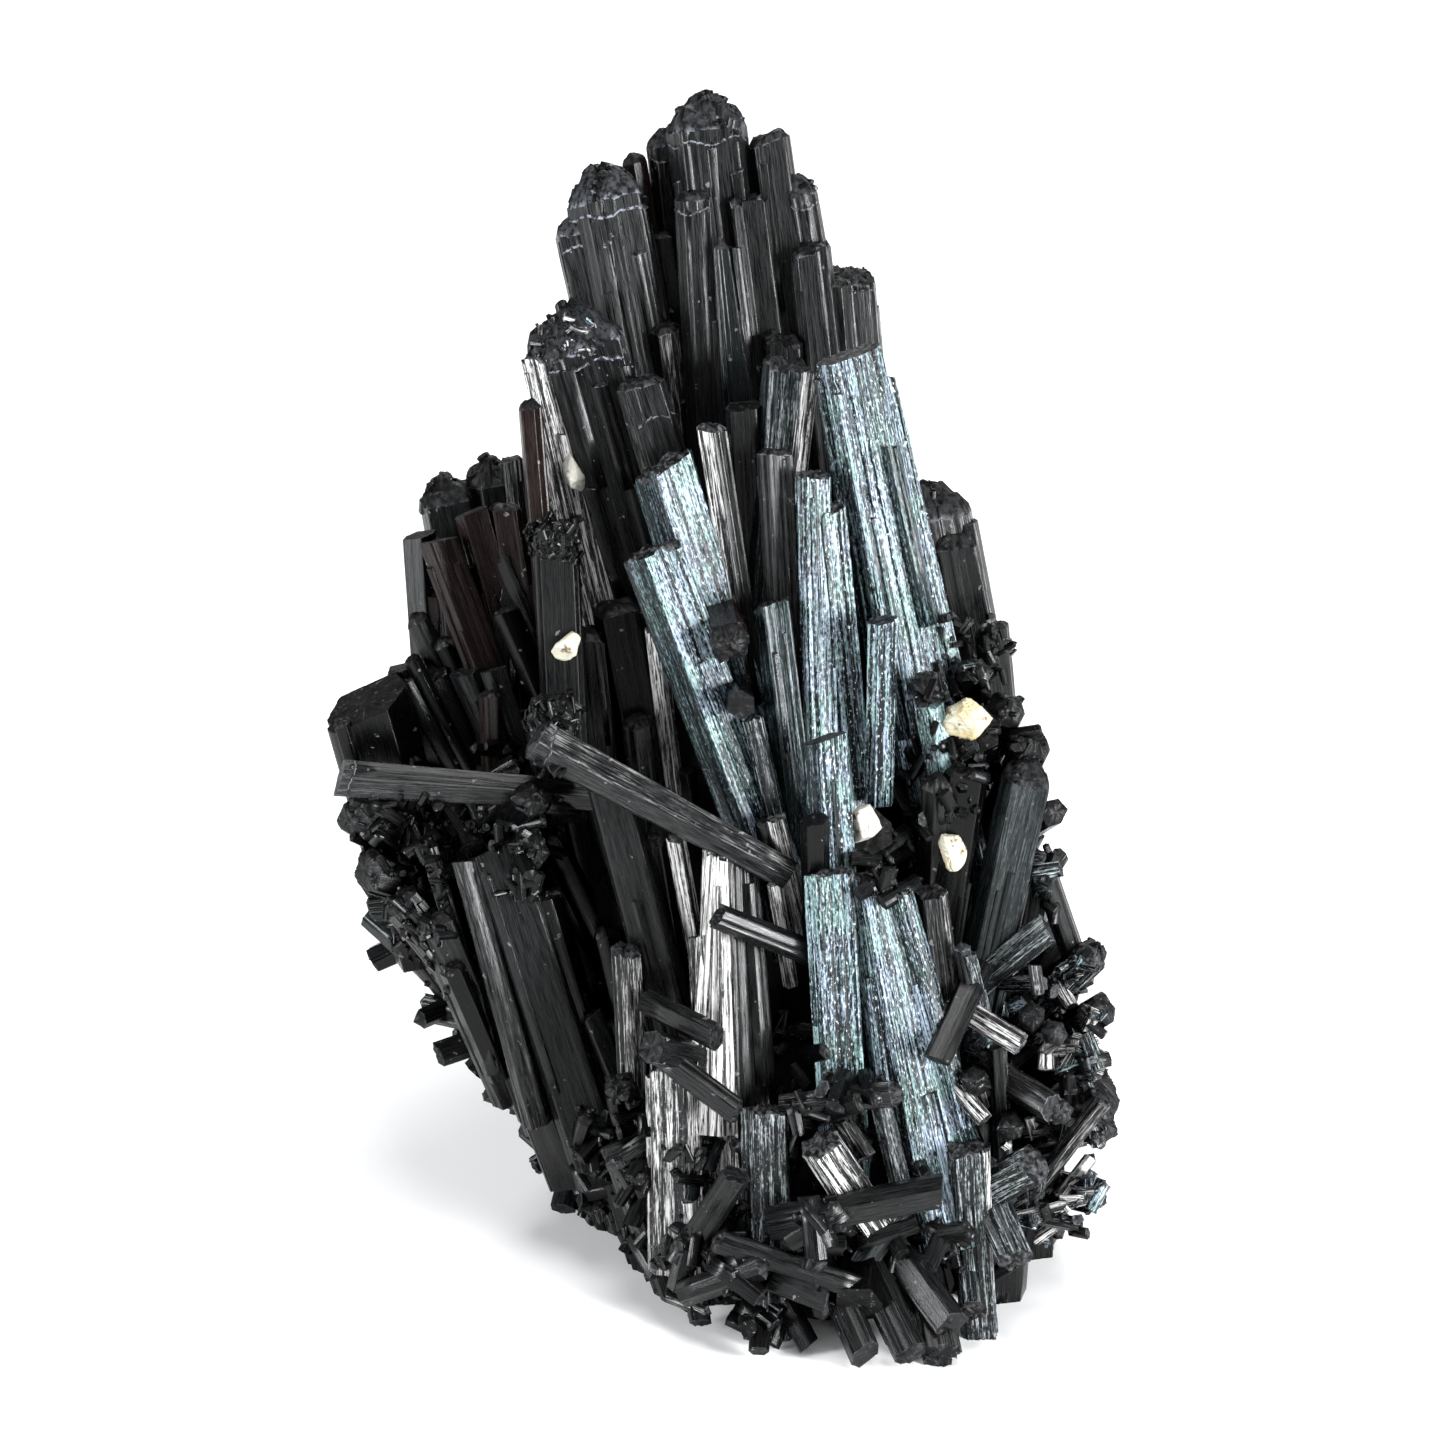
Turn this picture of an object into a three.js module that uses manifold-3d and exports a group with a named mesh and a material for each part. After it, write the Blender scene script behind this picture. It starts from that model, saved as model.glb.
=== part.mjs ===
// Schorl (black tourmaline) crystal cluster that stands on a flat cut face, with its tallest prisms at the
// back. Every schorl crystal is grown into its neighbours, so they are joined in one solid. The pale feldspar
// grains are another mineral, and each is a solid of its own that sits in a pocket of the cluster.
// Millimetres, +Z up, with the origin on the cut face. -Y is the front.
import * as THREE from "three";
import { mergeVertices } from "three/addons/utils/BufferGeometryUtils.js";
import Module from "manifold-3d";

// The crystals of the front are laid out as a front view shows them. A place there is [right, up, nearer]:
// millimetres from the view's left edge, from its lower edge, and towards the eye from its front crystals.
const VIEW_WIDTH = 100;
const VIEW_DISTANCE = 320;
const VIEW_ELEVATION = 24;
const VIEW_CENTRE = new THREE.Vector3(0, -3.7, 41.1);

// A wide prism has broad front and back faces, as the power that its corners are pushed outwards by
const CORNERS = 6;
const CORNER_SPREAD = 0.16;
const WIDE_PRISM = 2.3;
const FACE_BREADTH = { wide: 0.5, narrow: 0.85 };
// How steeply a rounded end and a flat one may slant, at most half of this
const END_SLANT = { round: 0.2, flat: 0.5 };
// A prism is the same again after this turn
const SIXTH_TURN = 60;
const FOOT_BURIED = 7;
const GRAIN_GAP = 0.3;
const BASE_CUT_SIZE = 200;

// How a crystal ends: rings from the prism's rim to its middle, as [share of the radius, rise in widths]
const ENDS = {
  flat: [[0, 0]],
  blunt: [[0.62, 0.16], [0, 0.16]],
  dome: [[0.6, 0.29], [0, 0.42]],
  point: [[0, 0.42]],
  broken: [[0, 0.06]],
};

// Crystals seen from the front: name, tip, foot, width, thickness over width, turn in degrees, end,
// and the tip's width over the foot's width where they differ
const FRONT_CRYSTALS = [
  ["top spire", [49.0, 91.1, -9], [51.9, 66, -13], 5.8, 0.8, 4, "dome"],
  ["top spire right", [53.3, 90.2, -9.4], [56.6, 66, -12.6], 3.9, 0.9, 0, "blunt", 0.8],
  ["summit flank", [51.6, 86.2, -8.6], [54.2, 66, -12.4], 3.6, 0.9, 4, "broken"],
  ["top spire left", [46.0, 90.0, -11], [48.3, 70, -16], 2.6, 1, 10, "dome"],
  ["top front left", [48.0, 86.3, -6.5], [48.9, 70, -9.5], 2.6, 0.9, 12, "blunt"],
  ["top front right", [54.2, 76.6, -8.4], [54.9, 64, -12], 3.0, 0.9, 5, "broken"],
  ["top right tooth", [55.4, 86.6, -9.6], [58.2, 70, -12.6], 3.0, 1, 8, "dome", 0.85],
  ["top right block", [59.0, 81.0, -11], [60.3, 66, -15], 3.3, 1, 12, "broken"],
  ["shoulder spire", [41.9, 86.2, -9], [46.0, 65, -13.6], 5.6, 0.85, 12, "dome"],
  ["shoulder spire left", [40.0, 83.8, -9.4], [44.4, 64, -13.6], 3.2, 0.9, -10, "dome"],
  ["shoulder knob", [43.9, 88.7, -10.5], [47.0, 70, -15], 1.8, 1, 30, "dome"],
  ["shoulder right", [45.6, 83.5, -11.5], [48.4, 66, -16], 2.6, 1, 0, "blunt"],
  ["left spire", [39.9, 75.9, -6.5], [45.0, 58, -11], 7.1, 0.85, 8, "dome"],
  ["grey column", [44.3, 73.3, -3.5], [49.3, 57, -7.5], 3.5, 0.85, 5, "blunt"],
  ["bright column upper", [45.9, 67.8, -1.5], [50.1, 54.5, -5], 4.4, 0.75, 20, "broken"],
  ["bright column lower", [45.2, 61.9, 0], [53.3, 40.5, -3], 4.2, 0.75, 20, "broken"],
  ["small bright prism", [49.3, 70.3, -1], [51.2, 58, -4], 2.1, 1, 30, "blunt"],
  ["flat topped prism", [51.5, 71.9, -3.5], [52.2, 60, -7], 2.6, 0.9, 0, "flat"],
  ["ribbed block", [54.6, 74.8, -3], [53.4, 60, -6], 3.5, 0.9, 0, "broken"],
  ["right slab", [58.7, 75.5, 0], [64.8, 45, -5.5], 5.5, 0.6, 10, "flat", 0.86],
  ["centre bundle left", [56.3, 67.2, 0.5], [56.8, 47.5, -2.5], 2.4, 0.9, 15, "broken"],
  ["centre bundle right", [57.3, 64.8, 0], [59.0, 47.5, -3], 2.4, 0.9, 20, "broken"],
  ["rimmed prism", [53.6, 68.5, -0.5], [54.3, 56, -4], 2.5, 1, 20, "blunt"],
  ["middle prism", [53.4, 58.2, -0.5], [55.3, 43, -3.5], 2.6, 0.9, 12, "broken"],
  ["dark end", [50.5, 55.6, 1.6], [50.0, 57.6, -5], 2.7, 1, 0, "dome"],
  ["front stub", [57.0, 48.9, 2.4], [57.8, 38, -1], 3.1, 0.9, 24, "flat"],
  ["lower slab left", [57.4, 39.6, 2], [58.2, 25, -1], 3.5, 0.7, 8, "broken"],
  ["lower slab right", [60.8, 38.6, 1.8], [64.8, 20.5, -1.6], 6.3, 0.55, 4, "broken", 0.62],
  ["dark block right", [66.8, 46.5, -1], [65.2, 36, -4.5], 3.0, 1, 0, "blunt"],
  ["leaning prism", [71.0, 46.0, -1.5], [68.0, 32.5, -5.5], 3.5, 0.9, 10, "dome"],
  ["right ledge top", [71.3, 48.2, -2], [69.4, 44, -7], 2.7, 1, 20, "dome"],
  ["right ledge end", [64.3, 52.4, 1.6], [64.9, 51.3, -5], 2.2, 1, 0, "dome"],
  ["right grain seat", [67.4, 49.4, -0.7], [67.4, 47, -8], 3.6, 1, 10, "flat"],
  ["centre grain seat", [60.2, 42.3, 0.3], [60.8, 40, -7], 3.2, 1, 10, "flat"],
  ["right ledge middle", [69.6, 50.8, -2], [68.3, 48, -7], 2.7, 1, 10, "dome"],
  ["right edge facet", [71.6, 40.2, -6], [70.6, 33, -9], 3.0, 1, 0, "point"],
  ["right far stub", [68.6, 56.4, -7], [69.4, 48, -11], 2.5, 1, 10, "blunt"],
  ["right back prism", [64.6, 64.2, -10.4], [67.3, 50, -14], 5.6, 0.85, 12, "dome"],
  ["right back shoulder", [66.0, 62.4, -10.2], [68.3, 51, -14], 3.8, 1, 0, "dome"],
  ["crusted prism", [38.4, 62.8, -2.5], [39.0, 50, -6], 3.2, 0.9, 5, "dome"],
  ["left red prism", [30.3, 62.6, -9], [35.8, 48, -12.5], 2.8, 0.9, 20, "flat"],
  ["left red prism back", [32.6, 64.6, -9.5], [36.4, 51, -13], 2.4, 1, 15, "flat"],
  ["left dark prism", [34.9, 64.8, -10], [37.2, 51, -13], 2.3, 1, 0, "blunt"],
  ["left back knob", [31.0, 65.4, -15], [33.4, 53, -18], 4.2, 1, 0, "dome"],
  ["left back hump", [34.1, 66.6, -15], [36.0, 53, -18], 4.2, 1, 20, "dome"],
  ["left pale edge", [29.0, 63.0, -11], [30.0, 48, -14.5], 2.4, 1, -30, "flat"],
  ["left inner prism", [31.6, 59.5, -11.5], [32.8, 46, -15], 3.4, 1, 0, "blunt"],
  ["wing block", [25.2, 51.3, -9], [28.4, 40, -13.5], 6.2, 0.9, -8, "flat"],
  ["wing block back", [28.4, 53.4, -11], [30.7, 42, -15], 3.7, 1, 5, "flat"],
  ["wing beam", [23.5, 46.2, -5], [37.5, 45.2, -5], 2.1, 1, 30, "flat", 1.25],
  ["wing crust upper", [36.8, 44.8, -3], [35.0, 43.2, -8], 2.6, 1, 0, "dome"],
  ["flank stripes", [32.3, 40.4, -5], [35.5, 28.5, -8], 2.1, 0.9, 10, "flat"],
  ["flank prism", [34.4, 41.3, -5.5], [39.8, 24.6, -9], 4.2, 0.8, 2, "flat"],
  ["flank dark prism", [37.0, 37.8, -7], [40.9, 25, -10.5], 3.6, 1, 0, "blunt"],
  ["flank corner", [27.7, 37.6, -7.5], [33.2, 31, -12], 3.0, 1, 15, "blunt"],
  ["wing stub", [25.0, 43.6, -8], [30.5, 40, -13], 3.4, 1, 20, "dome"],
  ["wing stub lower", [25.6, 39.8, -8.5], [31.5, 38, -13], 3.2, 1, 0, "blunt"],
  ["crossing prism", [37.2, 48.8, 3.5], [48.5, 42.7, 1.5], 2.2, 1, 26, "blunt", 1.35],
  ["crust under crossing", [38.1, 50.3, 0.5], [38.5, 47.5, -6], 3.7, 1, 0, "dome"],
  ["dark column right", [42.6, 57.8, -6], [45.8, 41, -10], 3.5, 1, 10, "blunt"],
  ["dark column left", [40.7, 56, -6], [42.3, 42, -10], 2.8, 1, 0, "blunt"],
  ["long dark prism", [42.0, 46, -2], [47.0, 27, -6], 3.3, 0.9, -7, "broken"],
  ["silver block", [50.4, 41.4, 0], [50.7, 24, -3], 6.0, 0.8, -32, "broken", 0.6],
  ["silver foot", [46.7, 26.6, 0.5], [46.8, 18.5, -2], 3.5, 0.8, -20, "broken"],
  ["pale column", [43.3, 34.3, -2], [43.8, 24, -5], 2.1, 1, -20, "broken"],
  ["lying prism", [50.9, 23.1, 2.8], [50.5, 23.4, 2.65], 1.9, 1, 20, "blunt"],
  ["blue block", [53.0, 23.2, 0.5], [53.2, 14, -2], 3.3, 0.8, 10, "broken"],
  ["lying bar upper", [61.7, 24.3, 2.4], [60.9, 24.2, 2.2], 1.9, 1, 20, "dome"],
  ["glinting stub", [56.8, 20.9, 3.2], [59.4, 17, -0.5], 2.9, 0.9, 5, "broken"],
  ["lying bar lower", [65.2, 17.6, 3.2], [60.0, 16.6, 2.3], 2.3, 1, 28, "flat"],
  ["foot prism left", [63.0, 6.4, 1.0], [59.6, 13.4, -3], 2.5, 1, 10, "blunt"],
  ["foot prism right", [65.2, 6.4, 0], [63.5, 14, -4], 2.7, 1, 0, "broken"],
  ["right foot block", [66.9, 20.7, 0.5], [67.5, 12.5, -3], 2.7, 0.9, 0, "broken"],
  ["right striped block", [70.3, 12.8, 0.5], [67.8, 18.4, -3], 2.5, 0.9, 5, "broken"],
  ["right flat prism", [72.8, 23.3, 0], [69, 25.7, -3], 2.1, 1, 0, "flat"],
  ["right round end", [71.4, 29.6, -0.6], [70.4, 28.8, -6], 2.0, 1, 0, "dome"],
  ["right druse", [74.9, 25.0, -6.5], [69.5, 23.6, -10], 8.4, 0.6, 0, "blunt"],
  ["right low stub", [75.7, 17.2, -4], [71.5, 18.2, -8], 2.4, 1, 20, "blunt"],
  ["right end stub", [76.1, 22.3, -5], [70.5, 22.2, -9], 3.0, 1, 0, "blunt"],
  ["right rod stub", [75.6, 26.4, -5], [70.5, 24.3, -9], 2.6, 1, 10, "flat"],
  ["right striped bar", [72.5, 35.8, -2.3], [69.0, 32.9, -4], 2.2, 1, 20, "flat"],
  ["right rim upper", [75.4, 33.8, -5], [72.5, 31, -9], 2.6, 1, 0, "dome"],
  ["right rim lower", [76.4, 30.2, -5.5], [73.5, 28.5, -9], 2.4, 1, 15, "blunt"],
  ["left foot mass", [43.8, 20.6, -4], [46.6, 13, -9], 4.2, 1, 15, "blunt"],
  ["front foot left", [50.8, 12.4, 0.2], [52.6, 15.5, -6], 3.6, 1, 10, "dome"],
  ["front foot middle", [55.6, 11.6, 0.6], [56.4, 15.5, -6], 3.4, 1, 0, "blunt"],
  ["front foot right", [59.4, 9.8, 0.4], [60, 15.5, -6], 3.2, 1, 20, "flat"],
  ["left foot upper", [45.2, 17.4, -6], [48.5, 19, -11], 3.4, 1, 0, "flat"],
  ["flank foot", [30.0, 36.4, -7], [33.0, 29.6, -10.5], 3.0, 1, 10, "blunt"],
  ["wing root", [29.8, 37, -15.5], [38, 26, -19], 6.5, 1, 0, "blunt"],
  ["wing back prism", [30.0, 47, -15.5], [40.5, 25, -20], 5.5, 1, 10, "blunt"],
];

// The outline that the front view shows, as [right, top, bottom]
const SKYLINE = [
  [23, 50, 46], [26, 52, 38], [29, 61, 32], [32, 65, 29], [36, 70, 27], [39, 75, 23], [42, 84, 19],
  [46, 87, 15], [50, 90, 11], [54, 86, 9], [58, 79, 8], [61, 73, 7], [64, 64, 7], [67, 56, 9], [70, 47, 14],
  [73, 38, 16], [76, 28, 20],
];

// Columns behind the ones that show, which fill the outline and fan out from below it
const FAN_CENTRE = 62;
const FAN_REACH = 70;
const FILLER_FROM = 35;
const FILLER_TO = 71;
const FILLER_STEP = 6.5;
const FILLER_LENGTH = 17;
const FILLER_WIDTH = [3.6, 5.2];
// How far the upper row ends below the outline's top, and the lower row above its bottom
const FILLER_TOP_GAP = 11;
const FILLER_BOTTOM_GAP = 6;
const FILLER_SPREAD = 3;
// How near the eye the two rows are, how much less so away from the middle, and how far they lean back
const FILLER_DEPTHS = [-11, -7];
const FILLER_MIDDLE = 54;
const FILLER_FALL = 0.12;
const FILLER_LEAN_BACK = 0.25;

// The mass that the crystals grow from: height, then its left, right, front and back
const CORE_LEVELS = [
  [-3, -5.5, 21, -17.5, 18],
  [9, -7.5, 22.5, -16, 21],
  [20, -13.5, 20.5, -9.5, 22.5],
  [31, -18, 18, -3.5, 23],
  [42, -15, 15.5, 3, 22.5],
  [52, -10, 10.5, 11.5, 21.5],
  [62, -5.5, 6.5, 16, 21],
  [69, -3, 4, 17.5, 20.5],
];
// How far the core's section is from an ellipse (1) towards a rectangle (0), on its left and on its right
const CORE_ROUNDNESS = [1.12, 0.8];
const CORE_SIDES = 12;

// Prisms that stand against the core's sides and back, in rows from the top down. Angles run from the right
// through the back to the left.
const MANTLE_FROM = -28;
const MANTLE_TO = 206;
const MANTLE_OUT = 0.7;
const MANTLE_TIP_SPREAD = 8;
const MANTLE_ROWS = [
  { count: 6, foot: 44, tip: 66, width: [4.0, 5.6] },
  { count: 8, foot: 29, tip: 53, width: [4.4, 6.6] },
  { count: 10, foot: 13, tip: 38, width: [4.6, 7.0] },
  { count: 10, foot: -4, tip: 22, width: [4.6, 7.2] },
];
// How high the sides and the back may reach, as [across, height], so that they stay behind the front
const BACK_SKYLINE = [
  [-24, 30], [-20, 40], [-14, 52], [-9, 64], [0, 70], [5, 60], [11, 53], [15, 46], [18, 38], [22, 28],
  [27, 12],
];

// Feldspar grains: name, middle, half sizes, and turn
const GRAINS = [
  ["feldspar_grain_right", [67.0, 50.4, -0.3], [1.75, 1.6, 2.0], 20],
  ["feldspar_grain_centre", [60.1, 42.8, 0.6], [1.45, 1.35, 1.4], 50],
  ["feldspar_grain_small", [65.9, 41.2, -1.0], [0.9, 1.2, 1.4], -20],
  ["feldspar_flake_left", [39.2, 55.3, -2.9], [1.15, 1.0, 0.9], 10],
  ["feldspar_flake_spire", [39.7, 67.1, -5.9], [0.8, 1.0, 1.5], -15],
];

const tilt = THREE.MathUtils.degToRad(VIEW_ELEVATION);
const viewRight = new THREE.Vector3(1, 0, 0);
const viewUp = new THREE.Vector3(0, Math.sin(tilt), Math.cos(tilt));
const viewToEye = new THREE.Vector3(0, -Math.cos(tilt), Math.sin(tilt));

const wasm = await Module();
wasm.setup();

// A stream of numbers from 0 to 1 that is the same on every run
function stream(seed) {
  let state = (seed * 7919 + 12345) % 2147483647;
  return () => {
    state = (state * 16807) % 2147483647;
    return state / 2147483647;
  };
}

function between(low, high, share) {
  return low + (high - low) * share;
}

// The value at x on a line through [x, value] points
function alongLine(points, x, column = 1) {
  const after = points.findIndex((point) => point[0] >= x);
  if (after === 0) return points[0][column];
  if (after < 0) return points[points.length - 1][column];
  const [from, to] = [points[after - 1], points[after]];
  return between(from[column], to[column], (x - from[0]) / (to[0] - from[0]));
}

// The place in the part of a place in the front view
function fromView([right, up, nearer]) {
  const spread = (VIEW_DISTANCE - nearer) / VIEW_DISTANCE;
  return VIEW_CENTRE.clone()
    .addScaledVector(viewRight, (right - VIEW_WIDTH / 2) * spread)
    .addScaledVector(viewUp, (up - VIEW_WIDTH / 2) * spread)
    .addScaledVector(viewToEye, nearer);
}

// A closed solid from any closed three.js geometry
function solidOf(geometry) {
  const bare = new THREE.BufferGeometry()
    .setAttribute("position", geometry.getAttribute("position"))
    .setIndex(geometry.index);
  const merged = mergeVertices(bare, 1e-4);
  const corners = [];
  for (let i = 0; i < merged.index.count; i += 3) {
    const [a, b, c] = [0, 1, 2].map((k) => merged.index.getX(i + k));
    if (a !== b && b !== c && a !== c) corners.push(a, b, c);
  }
  const mesh = new wasm.Mesh({
    numProp: 3,
    vertProperties: merged.getAttribute("position").array,
    triVerts: new Uint32Array(corners),
  });
  return new wasm.Manifold(mesh);
}

function geometryOf(solid) {
  const mesh = solid.getMesh();
  return new THREE.BufferGeometry()
    .setAttribute("position", new THREE.BufferAttribute(mesh.vertProperties, 3))
    .setIndex(new THREE.BufferAttribute(mesh.triVerts, 1));
}

// One prism from foot to tip. Turn is how far a face is turned to the right of the eye, about the prism's
// axis.
function crystal(foot, tip, width, thickness, turn, end, taper, random) {
  const along = tip.clone().sub(foot);
  const length = along.length();
  along.divideScalar(length);
  const front = viewToEye.clone().addScaledVector(viewUp, -0.01);
  front.addScaledVector(along, -front.dot(along)).normalize();
  const side = along.clone().cross(front);

  const rings = ENDS[end];
  const profile = [new THREE.Vector2(0, 0), new THREE.Vector2(1, 0), new THREE.Vector2(1, length)];
  for (const [radius, rise] of rings) {
    profile.push(new THREE.Vector2(radius, length + rise * width));
  }
  const halfFace = Math.PI / CORNERS;
  const geometry = new THREE.LatheGeometry(profile, CORNERS);
  const position = geometry.getAttribute("position");

  const reach = Array.from({ length: CORNERS }, () => 1 + CORNER_SPREAD * (random() - 0.5));
  const slope = [random() - 0.5, random() - 0.5];
  const breadth = width >= WIDE_PRISM ? FACE_BREADTH.wide : FACE_BREADTH.narrow;
  const outline = reach.map((r, k) => {
    const share = Math.sin(halfFace * (2 * k + 1));
    const across = Math.sign(share) * Math.abs(share) ** breadth;
    const corner = new THREE.Vector2(across, Math.cos(halfFace * (2 * k + 1))).multiplyScalar(r);
    return corner.rotateAround(new THREE.Vector2(), THREE.MathUtils.degToRad(-turn)).toArray();
  });
  const [across, deep] = [0, 1].map((axis) => {
    const values = outline.map((point) => point[axis]);
    return Math.max(...values) - Math.min(...values);
  });
  const slant = end === "dome" || end === "point" ? END_SLANT.round : END_SLANT.flat;

  for (let i = 0; i < position.count; i++) {
    const corner = Math.floor(i / profile.length) % CORNERS;
    const narrowing = between(1, taper, Math.min(1, position.getY(i) / length));
    const radius = Math.hypot(position.getX(i), position.getZ(i)) * narrowing;
    const x = (outline[corner][0] * radius * width) / across;
    const z = (outline[corner][1] * radius * width * thickness) / deep;
    let y = position.getY(i);
    if (y > length / 2) y += slant * (slope[0] * x + slope[1] * z);
    const place = foot.clone().addScaledVector(side, x).addScaledVector(along, y).addScaledVector(front, z);
    position.setXYZ(i, place.x, place.y, place.z);
  }
  return solidOf(geometry);
}

function frontCrystals() {
  return FRONT_CRYSTALS.map(([, tip, foot, width, thickness, turn, end, taper = 1], index) => {
    const [tipPlace, footPlace] = [fromView(tip), fromView(foot)];
    const buried = footPlace.clone().sub(tipPlace).setLength(FOOT_BURIED);
    return crystal(footPlace.add(buried), tipPlace, width, thickness, turn, end, taper, stream(index + 1));
  });
}

function fillers() {
  const made = [];
  const random = stream(5000);
  const ends = ["blunt", "broken", "dome"];
  for (let right = FILLER_FROM; right < FILLER_TO; right += FILLER_STEP) {
    const [top, bottom] = [alongLine(SKYLINE, right, 1), alongLine(SKYLINE, right, 2)];
    const lean = (FAN_CENTRE - right) / FAN_REACH;
    const rowTops = [top - FILLER_TOP_GAP, bottom + FILLER_BOTTOM_GAP];
    rowTops.forEach((rowTop, row) => {
      const across = right + ((random() - 0.5) * FILLER_STEP) / 2;
      const up = rowTop - random() * FILLER_SPREAD;
      const nearer = FILLER_DEPTHS[row] - random() * 2 - Math.abs(right - FILLER_MIDDLE) * FILLER_FALL;
      const length = Math.min(FILLER_LENGTH, up - bottom + FILLER_BOTTOM_GAP + FILLER_SPREAD);
      const tip = fromView([across, up, nearer]);
      const foot = fromView([across + lean * length, up - length, nearer - length * FILLER_LEAN_BACK]);
      const width = between(...FILLER_WIDTH, random());
      const end = ends[Math.floor(random() * ends.length)];
      made.push(crystal(foot, tip, width, 0.9, random() * SIXTH_TURN, end, 1, random));
    });
  }
  return made;
}

// The core's surface at a height and an angle round it
function corePoint(height, angle) {
  const [left, right, front, back] = [1, 2, 3, 4].map((column) => alongLine(CORE_LEVELS, height, column));
  const roundness = CORE_ROUNDNESS[Math.cos(angle) < 0 ? 0 : 1];
  const [across, deep] = [Math.cos(angle), Math.sin(angle)].map(
    (share) => Math.sign(share) * Math.abs(share) ** roundness,
  );
  const x = (left + right) / 2 + ((right - left) / 2) * across;
  const y = (front + back) / 2 + ((back - front) / 2) * deep;
  return new THREE.Vector3(x, y, height);
}

function mantle() {
  const made = [];
  const random = stream(6000);
  const ends = ["blunt", "flat", "dome", "broken"];
  for (const row of MANTLE_ROWS) {
    for (let i = 0; i < row.count; i++) {
      const share = (i + 0.15 + random() * 0.7) / row.count;
      const angle = THREE.MathUtils.degToRad(between(MANTLE_FROM, MANTLE_TO, share));
      const height = row.tip - random() * MANTLE_TIP_SPREAD;
      const foot = corePoint(row.foot, angle + (random() - 0.5) * 0.1);
      const tip = corePoint(height, angle);
      tip.z = Math.min(tip.z, alongLine(BACK_SKYLINE, tip.x));
      tip.addScaledVector(new THREE.Vector3(Math.cos(angle), Math.sin(angle), 0), MANTLE_OUT);
      const width = between(...row.width, random());
      const end = ends[Math.floor(random() * ends.length)];
      made.push(crystal(foot, tip, width, 0.95, random() * SIXTH_TURN, end, 1, random));
    }
  }
  return made;
}

function core() {
  const last = CORE_LEVELS[CORE_LEVELS.length - 1][0];
  const profile = [new THREE.Vector2(0, CORE_LEVELS[0][0])];
  for (const [height] of CORE_LEVELS) profile.push(new THREE.Vector2(1, height));
  profile.push(new THREE.Vector2(0, last));
  const geometry = new THREE.LatheGeometry(profile, CORE_SIDES);
  const position = geometry.getAttribute("position");
  for (let i = 0; i < position.count; i++) {
    const [x, height, z] = [position.getX(i), position.getY(i), position.getZ(i)];
    const radius = Math.hypot(x, z);
    const rim = corePoint(height, Math.atan2(-z, x));
    const middle = corePoint(height, 0).add(corePoint(height, Math.PI)).multiplyScalar(0.5);
    const place = middle.lerp(rim, radius);
    position.setXYZ(i, place.x, place.y, place.z);
  }
  return solidOf(geometry);
}

function grainGeometry([, place, halves, turn], grow) {
  const geometry = new THREE.DodecahedronGeometry(1);
  geometry.scale(...halves.map((half) => half + grow));
  geometry.rotateZ(THREE.MathUtils.degToRad(turn));
  geometry.rotateX(THREE.MathUtils.degToRad(turn * 2));
  const middle = fromView(place);
  return geometry.translate(middle.x, middle.y, middle.z);
}

// The largest body of a solid, without the hollows that are sealed in between its crystals
function outerBody(solid) {
  return solid.decompose().reduce((best, body) => (body.volume() > best.volume() ? body : best));
}

function clusterSolid() {
  const crystals = [...frontCrystals(), ...fillers(), ...mantle()];
  let joined = wasm.Manifold.union([core(), ...crystals]);
  const below = new THREE.BoxGeometry(BASE_CUT_SIZE, BASE_CUT_SIZE, BASE_CUT_SIZE);
  below.translate(0, 0, -BASE_CUT_SIZE / 2);
  joined = joined.subtract(solidOf(below));
  for (const grain of GRAINS) {
    joined = joined.subtract(solidOf(grainGeometry(grain, GRAIN_GAP)));
  }
  return outerBody(joined);
}

const schorl = new THREE.MeshStandardMaterial({ color: 0x121316, roughness: 0.32, metalness: 0 });
const feldspar = new THREE.MeshStandardMaterial({ color: 0xe9e1c9, roughness: 0.55, metalness: 0 });

const cluster = new THREE.Mesh(geometryOf(clusterSolid()), schorl);
cluster.name = "schorl_cluster";

const part = new THREE.Group();
part.add(cluster);
for (const grain of GRAINS) {
  const mesh = new THREE.Mesh(grainGeometry(grain, 0), feldspar);
  mesh.name = grain[0];
  part.add(mesh);
}

export default part;
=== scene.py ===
"""Schorl crystal cluster: grooved black prisms with rough ends, their crusts, and pale feldspar grains.

Lengths are in millimetres until Heap.mesh() turns them into metres. Z is up and -Y is the front.
"""

import math

import bpy
import numpy as np
from mathutils import Matrix, Vector
from mathutils.bvhtree import BVHTree


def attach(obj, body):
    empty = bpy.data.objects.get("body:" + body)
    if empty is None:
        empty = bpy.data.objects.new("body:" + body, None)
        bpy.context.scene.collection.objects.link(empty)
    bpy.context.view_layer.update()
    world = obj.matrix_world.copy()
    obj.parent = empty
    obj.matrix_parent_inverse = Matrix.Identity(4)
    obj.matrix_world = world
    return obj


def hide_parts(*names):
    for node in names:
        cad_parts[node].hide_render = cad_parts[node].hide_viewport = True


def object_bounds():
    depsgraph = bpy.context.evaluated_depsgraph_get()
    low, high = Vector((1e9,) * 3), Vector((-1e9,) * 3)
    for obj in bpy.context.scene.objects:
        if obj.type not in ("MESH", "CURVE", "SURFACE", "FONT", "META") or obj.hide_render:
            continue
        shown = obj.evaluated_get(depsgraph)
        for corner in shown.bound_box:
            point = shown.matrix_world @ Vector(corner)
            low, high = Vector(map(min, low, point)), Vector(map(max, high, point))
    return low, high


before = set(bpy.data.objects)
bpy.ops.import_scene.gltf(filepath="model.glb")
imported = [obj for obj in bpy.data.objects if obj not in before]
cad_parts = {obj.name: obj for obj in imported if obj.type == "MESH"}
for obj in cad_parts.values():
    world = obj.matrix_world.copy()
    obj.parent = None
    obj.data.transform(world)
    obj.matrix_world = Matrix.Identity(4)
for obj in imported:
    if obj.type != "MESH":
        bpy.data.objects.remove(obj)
CAD_BOX = np.array(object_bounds())
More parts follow.
